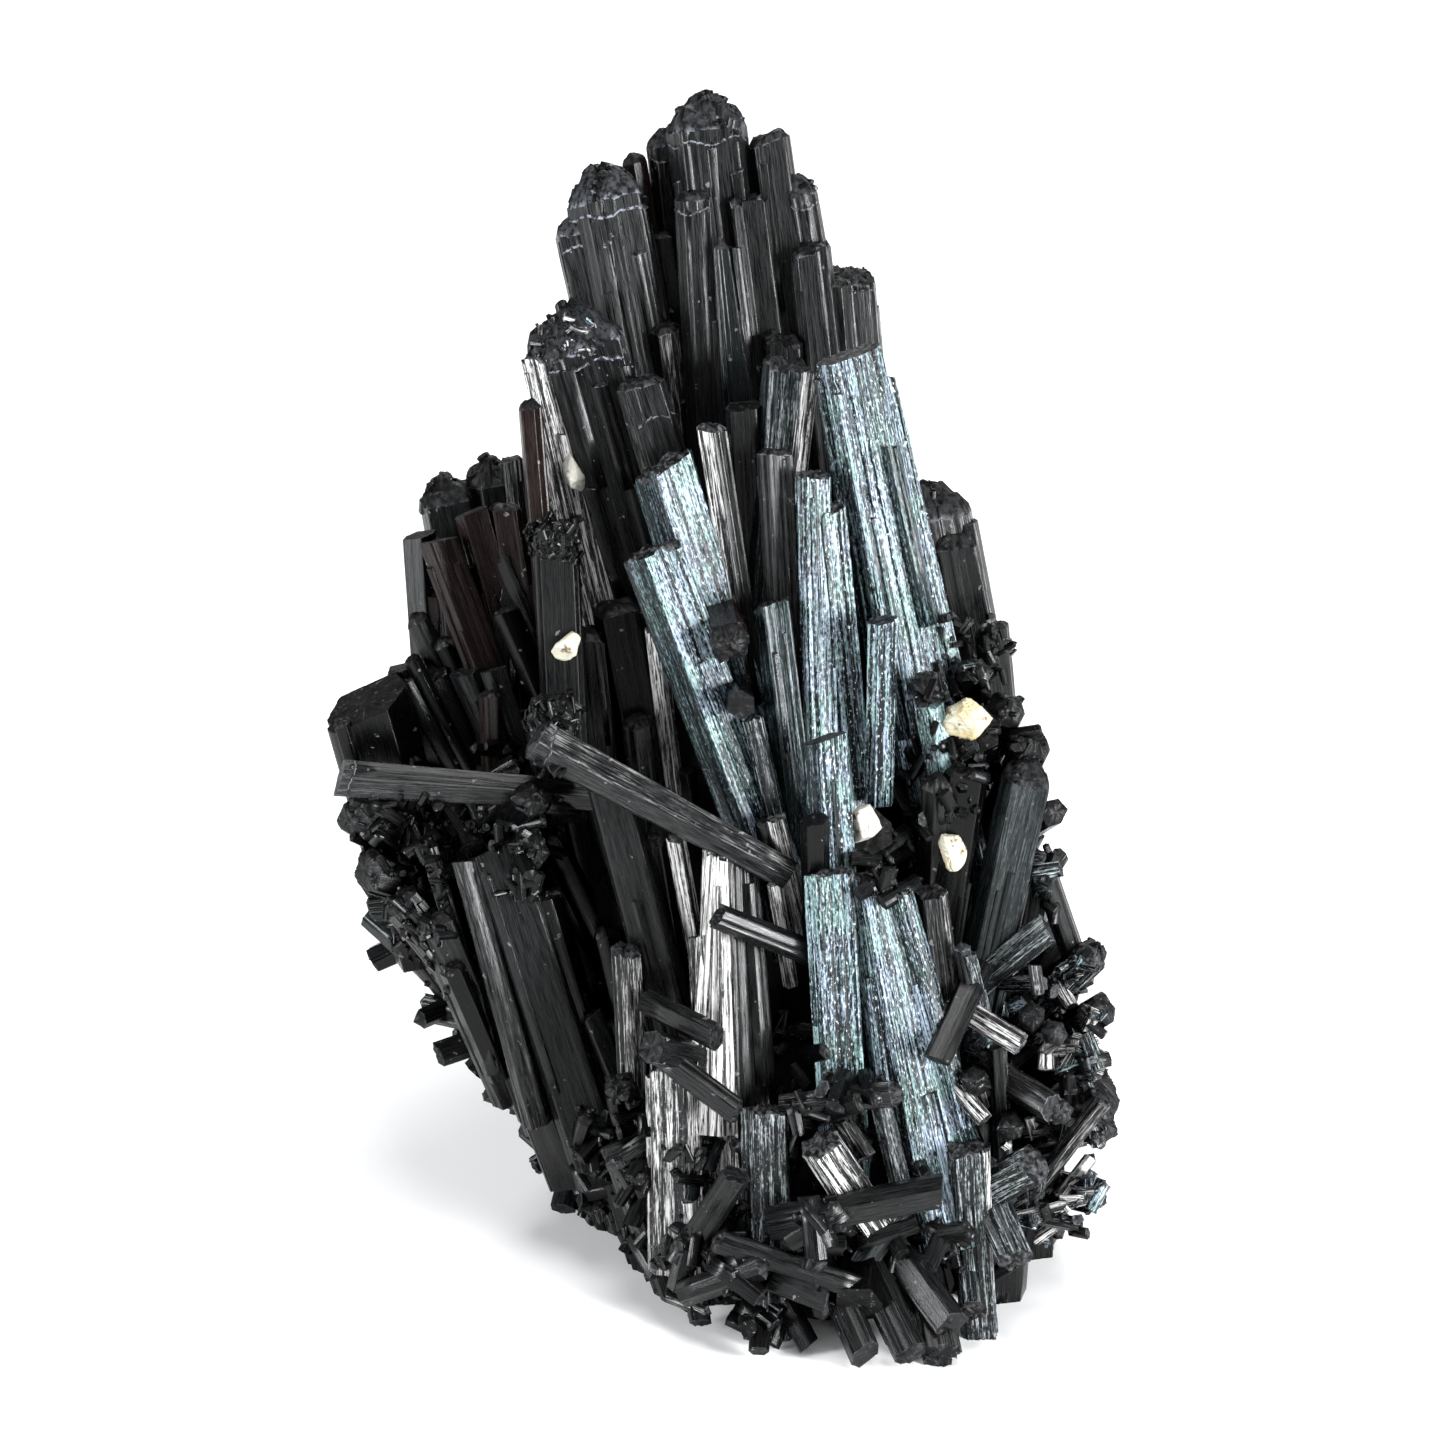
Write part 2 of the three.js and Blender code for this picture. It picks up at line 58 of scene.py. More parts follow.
MM = 0.001
METRE = 1000

# The front view: a place there is (right, up, nearer), in millimetres from the view's left edge, from its
# lower edge and towards the eye
VIEW_WIDTH = 100
VIEW_DISTANCE = 320
VIEW_ELEVATION = math.radians(24)
VIEW_CENTRE = np.array((0, -3.7, 41.1))
RIGHT = np.array((1.0, 0.0, 0.0))
UP = np.array((0.0, math.sin(VIEW_ELEVATION), math.cos(VIEW_ELEVATION)))
TO_EYE = np.array((0.0, -math.cos(VIEW_ELEVATION), math.sin(VIEW_ELEVATION)))

# A wide prism has broad front and back faces, as the power that its corners are pushed outwards by
CORNERS = 6
CORNER_SPREAD = 0.16
WIDE_PRISM = 2.3
FACE_BREADTH = {"wide": 0.5, "narrow": 0.85}
# How steeply a rounded end and a flat one may slant, at most half of this
END_SLANT = {"round": 0.2, "flat": 0.5}
# A prism is the same again after this turn
SIXTH_TURN = 60
FOOT_BURIED = 7
SMALL_FOOT_BURIED = 2.5

# How the sides are cut into facets: their width, from least to most, how many cross a prism, how uneven they
# are, the groove between them, and how much they lean and step
FACET_WIDTH = (0.23, 0.34)
FACETS_ACROSS = 11
FACET_SPREAD = 0.32
GROOVE = 0.02
FACET_LEAN = 0.16
FACET_STEP = 0.035
# From this width and this brightness on, facets have their full relief, and black ones have this share of it
FULL_RELIEF_WIDTH = 2.4
FULL_RELIEF_BRIGHT = 0.7
BLACK_RELIEF = 0.22
# The rings up the sides: how far apart at least, how uneven, and how much a facet and a point of it stray
RING_GAP = 2.9
RING_SPREAD = 0.3
PAIR_STRAY = 0.014
POINT_STRAY = 0.018
# A line of frost: half its width, how far it keeps other rings away, and how much it waves
FROST_LINE = 0.26
FROST_CLEAR = 0.75
FROST_WAVE = 0.28
# How far below its rim an end is frayed, in times its raggedness, and what is added to that
FRAYED = 2.2
FRAYED_LEAST = 0.4
# Crystals whose tips are lower than this aren't made. The ones that rise more steeply than this are cut off
# at the base, and the points of the others are lifted to it.
LOWEST_TIP = 0.3
STEEP = 0.25

# How many slim prisms grow along a prism for each millimetre of its width, and on one that is lit from a side
RIBS = 1.3
RIBS_LIT_SIDE = 0.4
# Up to this brightness a crystal is charcoal all over, with no painted silvery sheen lines
MATT = 0.29
# Painted light and shade: a prism's lit side gets its full brightness in the colour, the other side a share
# of it
# How bright the faces away from a prism's lit side are, as a share of those towards it
UNLIT = {-1: 0.15, 1: 0.55}
LIT_SIDES = {"left": -1, "right": 1}
# How much the faces of dark and of bright prisms differ in brightness, a random tone per face that partly
# paints light on some faces and shade on others
DARK_TONES = (0.55, 1.4)
BRIGHT_TONES = (0.85, 1.08)
# Each crystal has its own part of the noises, and there are this many of them
PATTERNS = 997

# How a crystal ends: rings as (share of the radius, rise in widths), the rise of its middle, how ragged its
# rim is and how rough its end is, both in widths
ENDS = {
    "flat": ([(0.84, 0), (0.55, 0), (0.25, 0)], 0, 0.006, 0.012),
    "blunt": ([(0.95, 0.025), (0.86, 0.07), (0.72, 0.13), (0.58, 0.16), (0.3, 0.165)], 0.16, 0.025, 0.035),
    "dome": (
        [(0.97, 0.04), (0.9, 0.12), (0.78, 0.21), (0.6, 0.29), (0.4, 0.36), (0.2, 0.41)], 0.42, 0.035, 0.06,
    ),
    "point": ([(0.66, 0.14), (0.33, 0.28)], 0.42, 0.02, 0.02),
    "broken": ([(0.95, 0.0), (0.84, 0.0), (0.62, 0.02), (0.36, 0.04), (0.16, 0.05)], 0.06, 0.11, 0.07),
}

# What a crystal looks like: how bright its striated faces are, which is mostly their painted sheen, its tint
# from teal (-1) to red (1), how sooty its end is, the soot being black with painted glints, how much frost
# lies on it, and how far below its end that frost makes a line
LOOKS = {
    "black": (0.0, 0.0, 0.3, 0.0, 0.0),
    "dark": (0.14, 0.0, 0.2, 0.3, 0.0),
    "rimmed": (0.24, 0.0, 0.0, 1.0, 0.9),
    "shaded": (0.13, 0.0, 0.0, 1.3, 0.9),
    "frosted": (0.26, 0.0, 0.0, 1.6, 0.9),
    "charcoal": (0.29, 0.0, 0.0, 0.5, 0.0),
    "banded": (0.32, 0.0, 0.2, 0.9, 2.4),
    "streaked": (0.36, 0.0, 0.0, 0.7, 0.9),
    "grey": (0.42, 0.0, 0.0, 0.6, 0.0),
    "sparkling": (0.2, 0.0, 1.0, 0.0, 0.0),
    "slate": (0.35, -0.5, 0.0, 0.2, 0.0),
    "blued": (0.50, -0.8, 0.1, 0.2, 0.0),
    "steel": (0.65, -0.5, 0.1, 0.2, 0.0),
    "pewter": (0.8, 0.0, 0.1, 0.2, 0.0),
    "teal": (0.98, -1.0, 0.1, 0.3, 0.0),
    "silver": (1.05, 0.0, 0.1, 0.2, 0.0),
    "shining": (1.4, 0.0, 0.1, 0.2, 0.0),
    "red": (0.10, 1.0, 0.2, 0.0, 0.0),
    "soot": (0.06, 0.0, 1.0, 0.0, 0.0),
}

# The large prisms of the front: name, tip, foot, width, thickness over width, turn in degrees, end, the tip's
# width over the foot's width, and look. After the look comes the side that it's lit from, if one is, and bare
# where no crust grows over the prism. The middle and the lower ones begin at these places in the list.
MIDDLE_FROM, LOWER_FROM = 24, 54
FRONT_CRYSTALS = [
    ("top spire", (49.0, 91.1, -9), (51.9, 66, -13), 5.8, 0.8, 4, "dome", 1, "rimmed"),
    ("top spire right", (53.3, 90.2, -9.4), (56.6, 66, -12.6), 3.9, 0.9, 0, "blunt", 0.8, "charcoal"),
    ("summit flank", (51.6, 86.2, -8.6), (54.2, 66, -12.4), 3.6, 0.9, 4, "broken", 1, "charcoal"),
    ("top spire left", (46.0, 90.0, -11), (48.3, 70, -16), 2.6, 1, 10, "dome", 1, "rimmed"),
    ("top front left", (48.0, 86.3, -6.5), (48.9, 70, -9.5), 2.6, 0.9, 12, "blunt", 1, "rimmed"),
    ("top front right", (54.2, 76.6, -8.4), (54.9, 64, -12), 3.0, 0.9, 5, "broken", 1, "dark"),
    ("top right tooth", (55.4, 86.6, -9.6), (58.2, 70, -12.6), 3.0, 1, 8, "dome", 0.85, "rimmed"),
    ("top right block", (59.0, 81.0, -11), (60.3, 66, -15), 3.3, 1, 12, "broken", 1, "rimmed"),
    ("shoulder spire", (41.9, 86.2, -9), (46.0, 65, -13.6), 5.6, 0.85, 12, "dome", 1, "frosted"),
    ("shoulder spire left", (40.0, 83.8, -9.4), (44.4, 64, -13.6), 3.2, 0.9, -10, "dome", 1, "frosted"),
    ("shoulder knob", (43.9, 88.7, -10.5), (47.0, 70, -15), 1.8, 1, 30, "dome", 1, "red"),
    ("shoulder right", (45.6, 83.5, -11.5), (48.4, 66, -16), 2.6, 1, 0, "blunt", 1, "dark"),
    ("left spire", (39.9, 75.9, -6.5), (45.0, 58, -11), 7.1, 0.85, 8, "dome", 1, "shaded"),
    ("grey column", (44.3, 73.3, -3.5), (49.3, 57, -7.5), 3.5, 0.85, 5, "blunt", 1, "banded"),
    ("bright column upper", (45.9, 67.8, -1.5), (50.1, 54.5, -5), 4.4, 0.75, 20, "broken", 1, "teal right"),
    ("bright column lower", (45.2, 61.9, 0), (53.3, 40.5, -3), 4.2, 0.75, 20, "broken", 1, "teal right"),
    ("small bright prism", (49.3, 70.3, -1), (51.2, 58, -4), 2.1, 1, 30, "blunt", 1, "silver left"),
    ("flat topped prism", (51.5, 71.9, -3.5), (52.2, 60, -7), 2.6, 0.9, 0, "flat", 1, "dark"),
    ("ribbed block", (54.6, 74.8, -3), (53.4, 60, -6), 3.5, 0.9, 0, "broken", 1, "steel right"),
    ("right slab", (58.7, 75.5, 0), (64.8, 45, -5.5), 5.5, 0.6, 10, "flat", 0.86, "teal"),
    ("centre bundle left", (56.3, 67.2, 0.5), (56.8, 47.5, -2.5), 2.4, 0.9, 15, "broken", 1, "teal"),
    ("centre bundle right", (57.3, 64.8, 0), (59.0, 47.5, -3), 2.4, 0.9, 20, "broken", 1, "teal"),
    ("rimmed prism", (53.6, 68.5, -0.5), (54.3, 56, -4), 2.5, 1, 20, "blunt", 1, "grey"),
    ("middle prism", (53.4, 58.2, -0.5), (55.3, 43, -3.5), 2.6, 0.9, 12, "broken", 1, "blued"),
    ("dark end", (50.5, 55.6, 1.6), (50.0, 57.6, -5), 2.7, 1, 0, "dome", 1, "red"),
    ("front stub", (57.0, 48.9, 2.4), (57.8, 38, -1), 3.1, 0.9, 24, "flat", 1, "teal right bare"),
    ("lower slab left", (57.4, 39.6, 2), (58.2, 25, -1), 3.5, 0.7, 8, "broken", 1, "teal"),
    ("lower slab right", (60.8, 38.6, 1.8), (64.8, 20.5, -1.6), 6.3, 0.55, 4, "broken", 0.62, "teal"),
    ("dark block right", (66.8, 46.5, -1), (65.2, 36, -4.5), 3.0, 1, 0, "blunt", 1, "black"),
    ("leaning prism", (71.0, 46.0, -1.5), (68.0, 32.5, -5.5), 3.5, 0.9, 10, "dome", 1, "slate bare"),
    ("right ledge top", (71.3, 48.2, -2), (69.4, 44, -7), 2.7, 1, 20, "dome", 1, "black"),
    ("right ledge end", (64.3, 52.4, 1.6), (64.9, 51.3, -5), 2.2, 1, 0, "dome", 1, "black"),
    ("right grain seat", (67.4, 49.4, -0.7), (67.4, 47, -8), 3.6, 1, 10, "flat", 1, "black"),
    ("centre grain seat", (60.2, 42.3, 0.3), (60.8, 40, -7), 3.2, 1, 10, "flat", 1, "black"),
    ("right ledge middle", (69.6, 50.8, -2), (68.3, 48, -7), 2.7, 1, 10, "dome", 1, "black"),
    ("right edge facet", (71.6, 40.2, -6), (70.6, 33, -9), 3.0, 1, 0, "point", 1, "dark"),
    ("right far stub", (68.6, 56.4, -7), (69.4, 48, -11), 2.5, 1, 10, "blunt", 1, "dark"),
    ("right back prism", (64.6, 64.2, -10.4), (67.3, 50, -14), 5.6, 0.85, 12, "dome", 1, "charcoal"),
    ("right back shoulder", (66.0, 62.4, -10.2), (68.3, 51, -14), 3.8, 1, 0, "dome", 1, "dark"),
    ("crusted prism", (38.4, 62.8, -2.5), (39.0, 50, -6), 3.2, 0.9, 5, "dome", 1, "soot"),
    ("left red prism", (30.3, 62.6, -9), (35.8, 48, -12.5), 2.8, 0.9, 20, "flat", 1, "red"),
    ("left red prism back", (32.6, 64.6, -9.5), (36.4, 51, -13), 2.4, 1, 15, "flat", 1, "red"),
    ("left dark prism", (34.9, 64.8, -10), (37.2, 51, -13), 2.3, 1, 0, "blunt", 1, "red"),
    ("left back knob", (31.0, 65.4, -15), (33.4, 53, -18), 4.2, 1, 0, "dome", 1, "dark"),
    ("left back hump", (34.1, 66.6, -15), (36.0, 53, -18), 4.2, 1, 20, "dome", 1, "dark"),
    ("left pale edge", (29.0, 63.0, -11), (30.0, 48, -14.5), 2.4, 1, -30, "flat", 1, "dark"),
    ("left inner prism", (31.6, 59.5, -11.5), (32.8, 46, -15), 3.4, 1, 0, "blunt", 1, "black"),
    ("wing block", (25.2, 51.3, -9), (28.4, 40, -13.5), 6.2, 0.9, -8, "flat", 1, "black"),
    ("wing block back", (28.4, 53.4, -11), (30.7, 42, -15), 3.7, 1, 5, "flat", 1, "black"),
    ("wing beam", (23.5, 46.2, -5), (37.5, 45.2, -5), 2.1, 1, 30, "flat", 1.25, "streaked bare"),
    ("wing crust upper", (36.8, 44.8, -3), (35.0, 43.2, -8), 2.6, 1, 0, "dome", 1, "black"),
    ("flank stripes", (32.3, 40.4, -5), (35.5, 28.5, -8), 2.1, 0.9, 10, "flat", 1, "grey"),
    ("flank prism", (34.4, 41.3, -5.5), (39.8, 24.6, -9), 4.2, 0.8, 2, "flat", 1, "dark"),
    ("flank dark prism", (37.0, 37.8, -7), (40.9, 25, -10.5), 3.6, 1, 0, "blunt", 1, "black"),
    ("flank corner", (27.7, 37.6, -7.5), (33.2, 31, -12), 3.0, 1, 15, "blunt", 1, "black"),
    ("wing stub", (25.0, 43.6, -8), (30.5, 40, -13), 3.4, 1, 20, "dome", 1, "black"),
    ("wing stub lower", (25.6, 39.8, -8.5), (31.5, 38, -13), 3.2, 1, 0, "blunt", 1, "black"),
    ("crossing prism", (37.2, 48.8, 3.5), (48.5, 42.7, 1.5), 2.2, 1, 26, "blunt", 1.35, "streaked bare"),
    ("crust under crossing", (38.1, 50.3, 0.5), (38.5, 47.5, -6), 3.7, 1, 0, "dome", 1, "soot"),
    ("dark column right", (42.6, 57.8, -6), (45.8, 41, -10), 3.5, 1, 10, "blunt", 1, "black"),
    ("dark column left", (40.7, 56, -6), (42.3, 42, -10), 2.8, 1, 0, "blunt", 1, "black"),
    ("long dark prism", (42.0, 46, -2), (47.0, 27, -6), 3.3, 0.9, -7, "broken", 1, "dark"),
    ("silver block", (50.4, 41.4, 0), (50.7, 24, -3), 6.0, 0.8, -32, "broken", 0.6, "silver left bare"),
    ("silver foot", (46.7, 26.6, 0.5), (46.8, 18.5, -2), 3.5, 0.8, -20, "broken", 1, "pewter"),
    ("pale column", (43.3, 34.3, -2), (43.8, 24, -5), 2.1, 1, -20, "broken", 1, "grey"),
    ("lying prism", (50.9, 23.1, 2.8), (50.5, 23.4, 2.65), 1.9, 1, 20, "blunt", 1, "dark bare"),
    ("blue block", (53.0, 23.2, 0.5), (53.2, 14, -2), 3.3, 0.8, 10, "broken", 1, "steel bare"),
    ("lying bar upper", (61.7, 24.3, 2.4), (60.9, 24.2, 2.2), 1.9, 1, 20, "dome", 1, "grey bare"),
    ("glinting stub", (56.8, 20.9, 3.2), (59.4, 17, -0.5), 2.9, 0.9, 5, "broken", 1, "silver bare"),
    ("lying bar lower", (65.2, 17.6, 3.2), (60.0, 16.6, 2.3), 2.3, 1, 28, "flat", 1, "dark bare"),
    ("foot prism left", (63.0, 6.4, 1.0), (59.6, 13.4, -3), 2.5, 1, 10, "blunt", 1, "dark bare"),
    ("foot prism right", (65.2, 6.4, 0), (63.5, 14, -4), 2.7, 1, 0, "broken", 1, "dark bare"),
    ("right foot block", (66.9, 20.7, 0.5), (67.5, 12.5, -3), 2.7, 0.9, 0, "broken", 1, "steel bare"),
    ("right striped block", (70.3, 12.8, 0.5), (67.8, 18.4, -3), 2.5, 0.9, 5, "broken", 1, "steel bare"),
    ("right flat prism", (72.8, 23.3, 0), (69, 25.7, -3), 2.1, 1, 0, "flat", 1, "grey bare"),
    ("right round end", (71.4, 29.6, -0.6), (70.4, 28.8, -6), 2.0, 1, 0, "dome", 1, "black bare"),
    ("right druse", (74.9, 25.0, -6.5), (69.5, 23.6, -10), 8.4, 0.6, 0, "blunt", 1, "black"),
    ("right low stub", (75.7, 17.2, -4), (71.5, 18.2, -8), 2.4, 1, 20, "blunt", 1, "dark"),
    ("right end stub", (76.1, 22.3, -5), (70.5, 22.2, -9), 3.0, 1, 0, "blunt", 1, "dark"),
    ("right rod stub", (75.6, 26.4, -5), (70.5, 24.3, -9), 2.6, 1, 10, "flat", 1, "grey"),
    ("right striped bar", (72.5, 35.8, -2.3), (69.0, 32.9, -4), 2.2, 1, 20, "flat", 1, "steel bare"),
    ("right rim upper", (75.4, 33.8, -5), (72.5, 31, -9), 2.6, 1, 0, "dome", 1, "steel"),
    ("right rim lower", (76.4, 30.2, -5.5), (73.5, 28.5, -9), 2.4, 1, 15, "blunt", 1, "black"),
    ("left foot mass", (43.8, 20.6, -4), (46.6, 13, -9), 4.2, 1, 15, "blunt", 1, "black"),
    ("front foot left", (50.8, 12.4, 0.2), (52.6, 15.5, -6), 3.6, 1, 10, "dome", 1, "black"),
    ("front foot middle", (55.6, 11.6, 0.6), (56.4, 15.5, -6), 3.4, 1, 0, "blunt", 1, "black"),
    ("front foot right", (59.4, 9.8, 0.4), (60, 15.5, -6), 3.2, 1, 20, "flat", 1, "black"),
    ("left foot upper", (45.2, 17.4, -6), (48.5, 19, -11), 3.4, 1, 0, "flat", 1, "black"),
    ("flank foot", (30.0, 36.4, -7), (33.0, 29.6, -10.5), 3.0, 1, 10, "blunt", 1, "dark"),
    ("wing root", (29.8, 37, -15.5), (38, 26, -19), 6.5, 1, 0, "blunt", 1, "dark"),
    ("wing back prism", (30.0, 47, -15.5), (40.5, 25, -20), 5.5, 1, 10, "blunt", 1, "dark"),
]

# The small ones between them
SMALL_CRYSTALS = [
    ("top front wedge", (49.9, 82.8, -6), (51.2, 70, -8.5), 2.5, 0.8, 12, "point", 0.45, "slate"),
    ("top right stub", (54.9, 86.9, -12.5), (56.2, 74, -16), 1.3, 1, 0, "blunt", 1, "grey"),
    ("left spire face", (37.7, 75.4, -4.7), (41.9, 58, -9.0), 3.8, 0.5, -10, "broken", 0.9, "silver"),
    ("summit column front", (56.0, 82.8, -8.2), (57.6, 68, -10.6), 3.2, 0.8, 4, "broken", 0.9, "charcoal"),
    ("summit column edge", (57.7, 80.4, -8.6), (58.7, 68, -11), 2.0, 0.9, -8, "broken", 1, "dark"),
    ("top gap back", (46.3, 86.6, -14), (48.4, 66, -18), 2.4, 1, 20, "blunt", 1, "dark"),
    ("top gap stub", (46.0, 77.2, -9), (47.4, 66, -12), 2.2, 1, 10, "blunt", 1, "grey"),
    ("right slab rib", (61.2, 73.8, -1.8), (66.2, 52, -5.5), 1.6, 1, 30, "broken", 1, "teal"),
    ("bright strip", (56.1, 74.2, -1.4), (54.9, 64, -3.4), 1.2, 1, 10, "broken", 1, "silver"),
    ("rimmed prism rib", (53.0, 67.0, -1), (53.8, 57, -4), 1.2, 1, -10, "broken", 1, "grey"),
    ("middle splinter", (52.1, 50.3, 0.3), (54.0, 42, -2), 1.5, 1, 10, "broken", 1, "steel"),
    ("cube end", (51.3, 51.2, 3), (50.8, 52.4, -4), 2.0, 1, 10, "flat", 1, "black"),
    ("front stub lower", (56.4, 43.3, 3.0), (56.5, 37.5, 0), 2.0, 1, 0, "flat", 1, "black"),
    ("slab seam", (59.4, 39.4, 1.6), (61.2, 27, -1.4), 2.2, 0.8, 8, "broken", 1, "teal"),
    ("slab step", (61.1, 57.1, 1.9), (60.9, 46.8, -1.5), 2.1, 1, 15, "flat", 1, "teal"),
    ("slab foot", (64.2, 52.2, -0.6), (65.7, 44, -2.5), 2.2, 0.7, 15, "broken", 1, "teal"),
    ("lower slab corner", (60.6, 25.2, 1.6), (62.0, 19.5, 0), 1.5, 1, 10, "broken", 1, "steel"),
    ("grey prism", (64.5, 38.3, 0.5), (65.6, 28.5, -2.5), 2.2, 1, -10, "broken", 1, "grey bare"),
    ("grey splinter", (66.6, 34.4, 1), (67.6, 29, -1.5), 1.2, 1, 15, "point", 1, "grey"),
    ("dark block left", (64.9, 45.6, -0.5), (64.4, 37, -4), 2.2, 1, 20, "dome", 1, "black"),
    ("leaning prism knob", (72.9, 43.8, -1), (71.0, 42.6, -6), 1.9, 1, 0, "blunt", 1, "black"),
    ("right ledge inner", (67.3, 53.6, -3), (66.8, 50, -8), 2.4, 1, 10, "blunt", 1, "black"),
    ("right edge prism", (72.3, 39.8, -3), (74.3, 34, -6), 1.8, 1, 10, "blunt", 1, "dark"),
    ("red needle", (36.7, 71.7, -3.4), (38.3, 52, -7.6), 1.7, 1, -12, "dome", 1, "red"),
    ("left shaded prism", (30.2, 58.8, -12), (30.7, 48, -15), 2.2, 1, 0, "blunt", 1, "red"),
    ("left back needle", (35.3, 68.1, -14), (36.7, 54, -17), 1.8, 1, 0, "blunt", 1, "grey"),
    ("wing post", (33.9, 51.9, -7), (34.2, 43.5, -10), 1.6, 1, 10, "blunt", 1, "red"),
    ("wing post left", (31.0, 55.8, -11), (31.4, 45, -14), 1.5, 1, 10, "blunt", 1, "red"),
    ("wing crust lower", (36.7, 41.2, -3.5), (35.2, 41, -8.5), 2.8, 1, 15, "dome", 1, "black"),
    ("flank pale edge", (29.6, 41.6, -6), (33.6, 28, -9.5), 1.3, 1, -20, "broken", 1, "grey"),
    ("flank corner low", (31.3, 33, -7), (33.7, 27.5, -10), 1.9, 1, 0, "blunt", 1, "black"),
    ("pale streak", (45.3, 56.4, -4), (46.8, 44, -8), 1.4, 1, -15, "broken", 1, "silver"),
    ("dark column stub", (44.1, 50, -5), (45.2, 41, -9), 2.2, 1, 20, "blunt", 1, "dark"),
    ("pale splinter", (46.8, 42, -2), (48.3, 33.5, -5), 1.4, 1, -20, "broken", 1, "silver"),
    ("dark splinter", (45.1, 41.8, -4), (47.2, 29, -8), 2.2, 1, 0, "blunt", 1, "dark"),
    ("silver face", (49.6, 40.8, 1.8), (49.2, 24, -0.9), 3.6, 0.5, -22, "broken", 0.4, "shining bare"),
    ("silver rib", (48.5, 35.2, 0.4), (48.8, 23.5, -2), 1.7, 1, -25, "broken", 1, "pewter bare"),
    ("pale column top", (43.6, 38.4, -3), (44.4, 32, -5.5), 1.3, 1, -20, "point", 1, "silver"),
    ("lying stub", (49.6, 28.2, 3.4), (46.5, 29.8, 0.5), 1.9, 1, 15, "flat", 1, "dark"),
    ("lying prism block", (45.1, 27.6, 3.0), (48.0, 26.8, -0.5), 2.3, 1, 5, "flat", 1, "dark"),
    ("small lying prism", (49.6, 36.6, 3.3), (54.9, 34.5, 0.5), 1.8, 1, 10, "broken", 1, "dark"),
    ("narrow bright prism", (53.7, 43.4, 1), (55.2, 37, -2), 1.4, 1, 15, "broken", 1, "silver"),
    ("narrow dark prism", (52.9, 43.0, 0.5), (53.9, 36.5, -2.5), 1.3, 1, 0, "blunt", 1, "dark"),
    ("narrow pale prism", (53.6, 38.9, 0.5), (54.4, 34, -2), 1.1, 1, 15, "point", 1, "silver"),
    ("lying grey bar", (49.7, 14.1, 2.2), (57.9, 11.4, 0.3), 1.6, 1, 25, "blunt", 1, "dark bare"),
    ("lying green prism", (50.9, 18.7, 1.8), (48.4, 14.8, -0.5), 2.1, 0.9, 10, "flat", 1, "dark bare"),
    ("foot splinter", (67.5, 9.2, -1), (66, 14.5, -4.5), 1.7, 1, 10, "broken", 1, "dark"),
    ("right foot edge", (68.1, 20.5, 0.8), (68.3, 13, -2.5), 0.9, 1, 15, "broken", 1, "silver"),
    ("right lying block", (71.5, 19.4, 1), (67.8, 17.4, -2), 2.7, 0.9, 20, "blunt", 1, "steel bare"),
    ("right upright prism", (69.0, 27.6, 0), (69.3, 22, -3), 1.3, 1, 0, "flat", 1, "grey bare"),
    ("right bright bar", (70.7, 27.7, 1.2), (67.4, 29.7, -0.5), 1.7, 0.9, 10, "broken", 1, "silver bare"),
    ("right round end outer", (72.9, 28.5, -0.6), (71.9, 27.8, -6), 1.9, 1, 20, "dome", 1, "grey bare"),
    ("sparkling end", (67.5, 25.1, 1.4), (67.2, 25.6, -5), 2.0, 1, 0, "dome", 1, "soot bare"),
    ("right small end", (70.0, 22, 0.9), (69.7, 22.6, -5), 1.8, 1, 15, "dome", 1, "soot bare"),
    ("right dark end", (73.3, 23.1, -0.6), (72.0, 24, -6), 1.9, 1, 0, "blunt", 1, "dark"),
    ("right rod", (76.3, 23.8, -2.5), (72.6, 19, -5), 1.4, 1, 15, "blunt", 1, "grey bare"),
    ("right rod upper", (76.0, 26.9, -4), (73.2, 24.3, -7), 1.6, 1, 0, "blunt", 1, "dark"),
    ("right needle", (75.1, 17.0, -2), (70.0, 15.7, -3), 0.8, 1, 10, "flat", 1, "silver"),
    ("right needle lower", (74.8, 15.2, -2.5), (70.3, 16.1, -4), 1.1, 1, 0, "flat", 1, "grey"),
    ("right blue stub", (72.0, 31.9, -1.3), (69.8, 31.9, -4), 1.2, 1, 0, "flat", 1, "steel"),
    ("foot diagonal", (59.9, 6.3, 0.8), (57.4, 12, -2.5), 2.3, 0.9, 0, "flat", 1, "dark bare"),
    ("foot block right", (65.9, 8.3, 0.8), (62.9, 12.4, -2), 2.4, 1, 20, "flat", 1, "dark bare"),
    ("foot end block", (65.0, 5.7, -0.6), (64.2, 9, -3), 2.0, 1, 10, "broken", 1, "grey"),
    ("foot bright chip", (67.2, 9.6, -0.4), (66.9, 12.5, -3), 1.5, 0.9, 0, "broken", 1, "steel"),
    ("right bright needle", (66.9, 34.0, 0.8), (68.0, 29.8, -1.5), 1.3, 1, 10, "broken", 1, "steel bare"),
    ("right dark shard", (64.9, 26.6, 2.4), (67.0, 31.2, 0), 1.9, 0.9, 20, "flat", 1, "dark bare"),
    ("left foot crust", (42.9, 24.7, -3), (43.7, 22.5, -8), 2.3, 1, 0, "dome", 1, "black"),
    ("left foot splinter", (47.7, 17, -1), (48, 11, -4), 1.1, 1, -15, "broken", 1, "silver"),
    ("left foot lower", (46.6, 13.4, -3.5), (49.4, 17, -9), 3.6, 1, 5, "dome", 1, "black"),
]

# The outline that the front view shows, as (right, top, bottom)
SKYLINE = [
    (23, 50, 46), (26, 52, 38), (29, 61, 32), (32, 65, 29), (36, 70, 27), (39, 75, 23), (42, 84, 19),
    (46, 87, 15), (50, 90, 11), (54, 86, 9), (58, 79, 8), (61, 73, 7), (64, 64, 7), (67, 56, 9), (70, 47, 14),
    (73, 38, 16), (76, 28, 20),
]

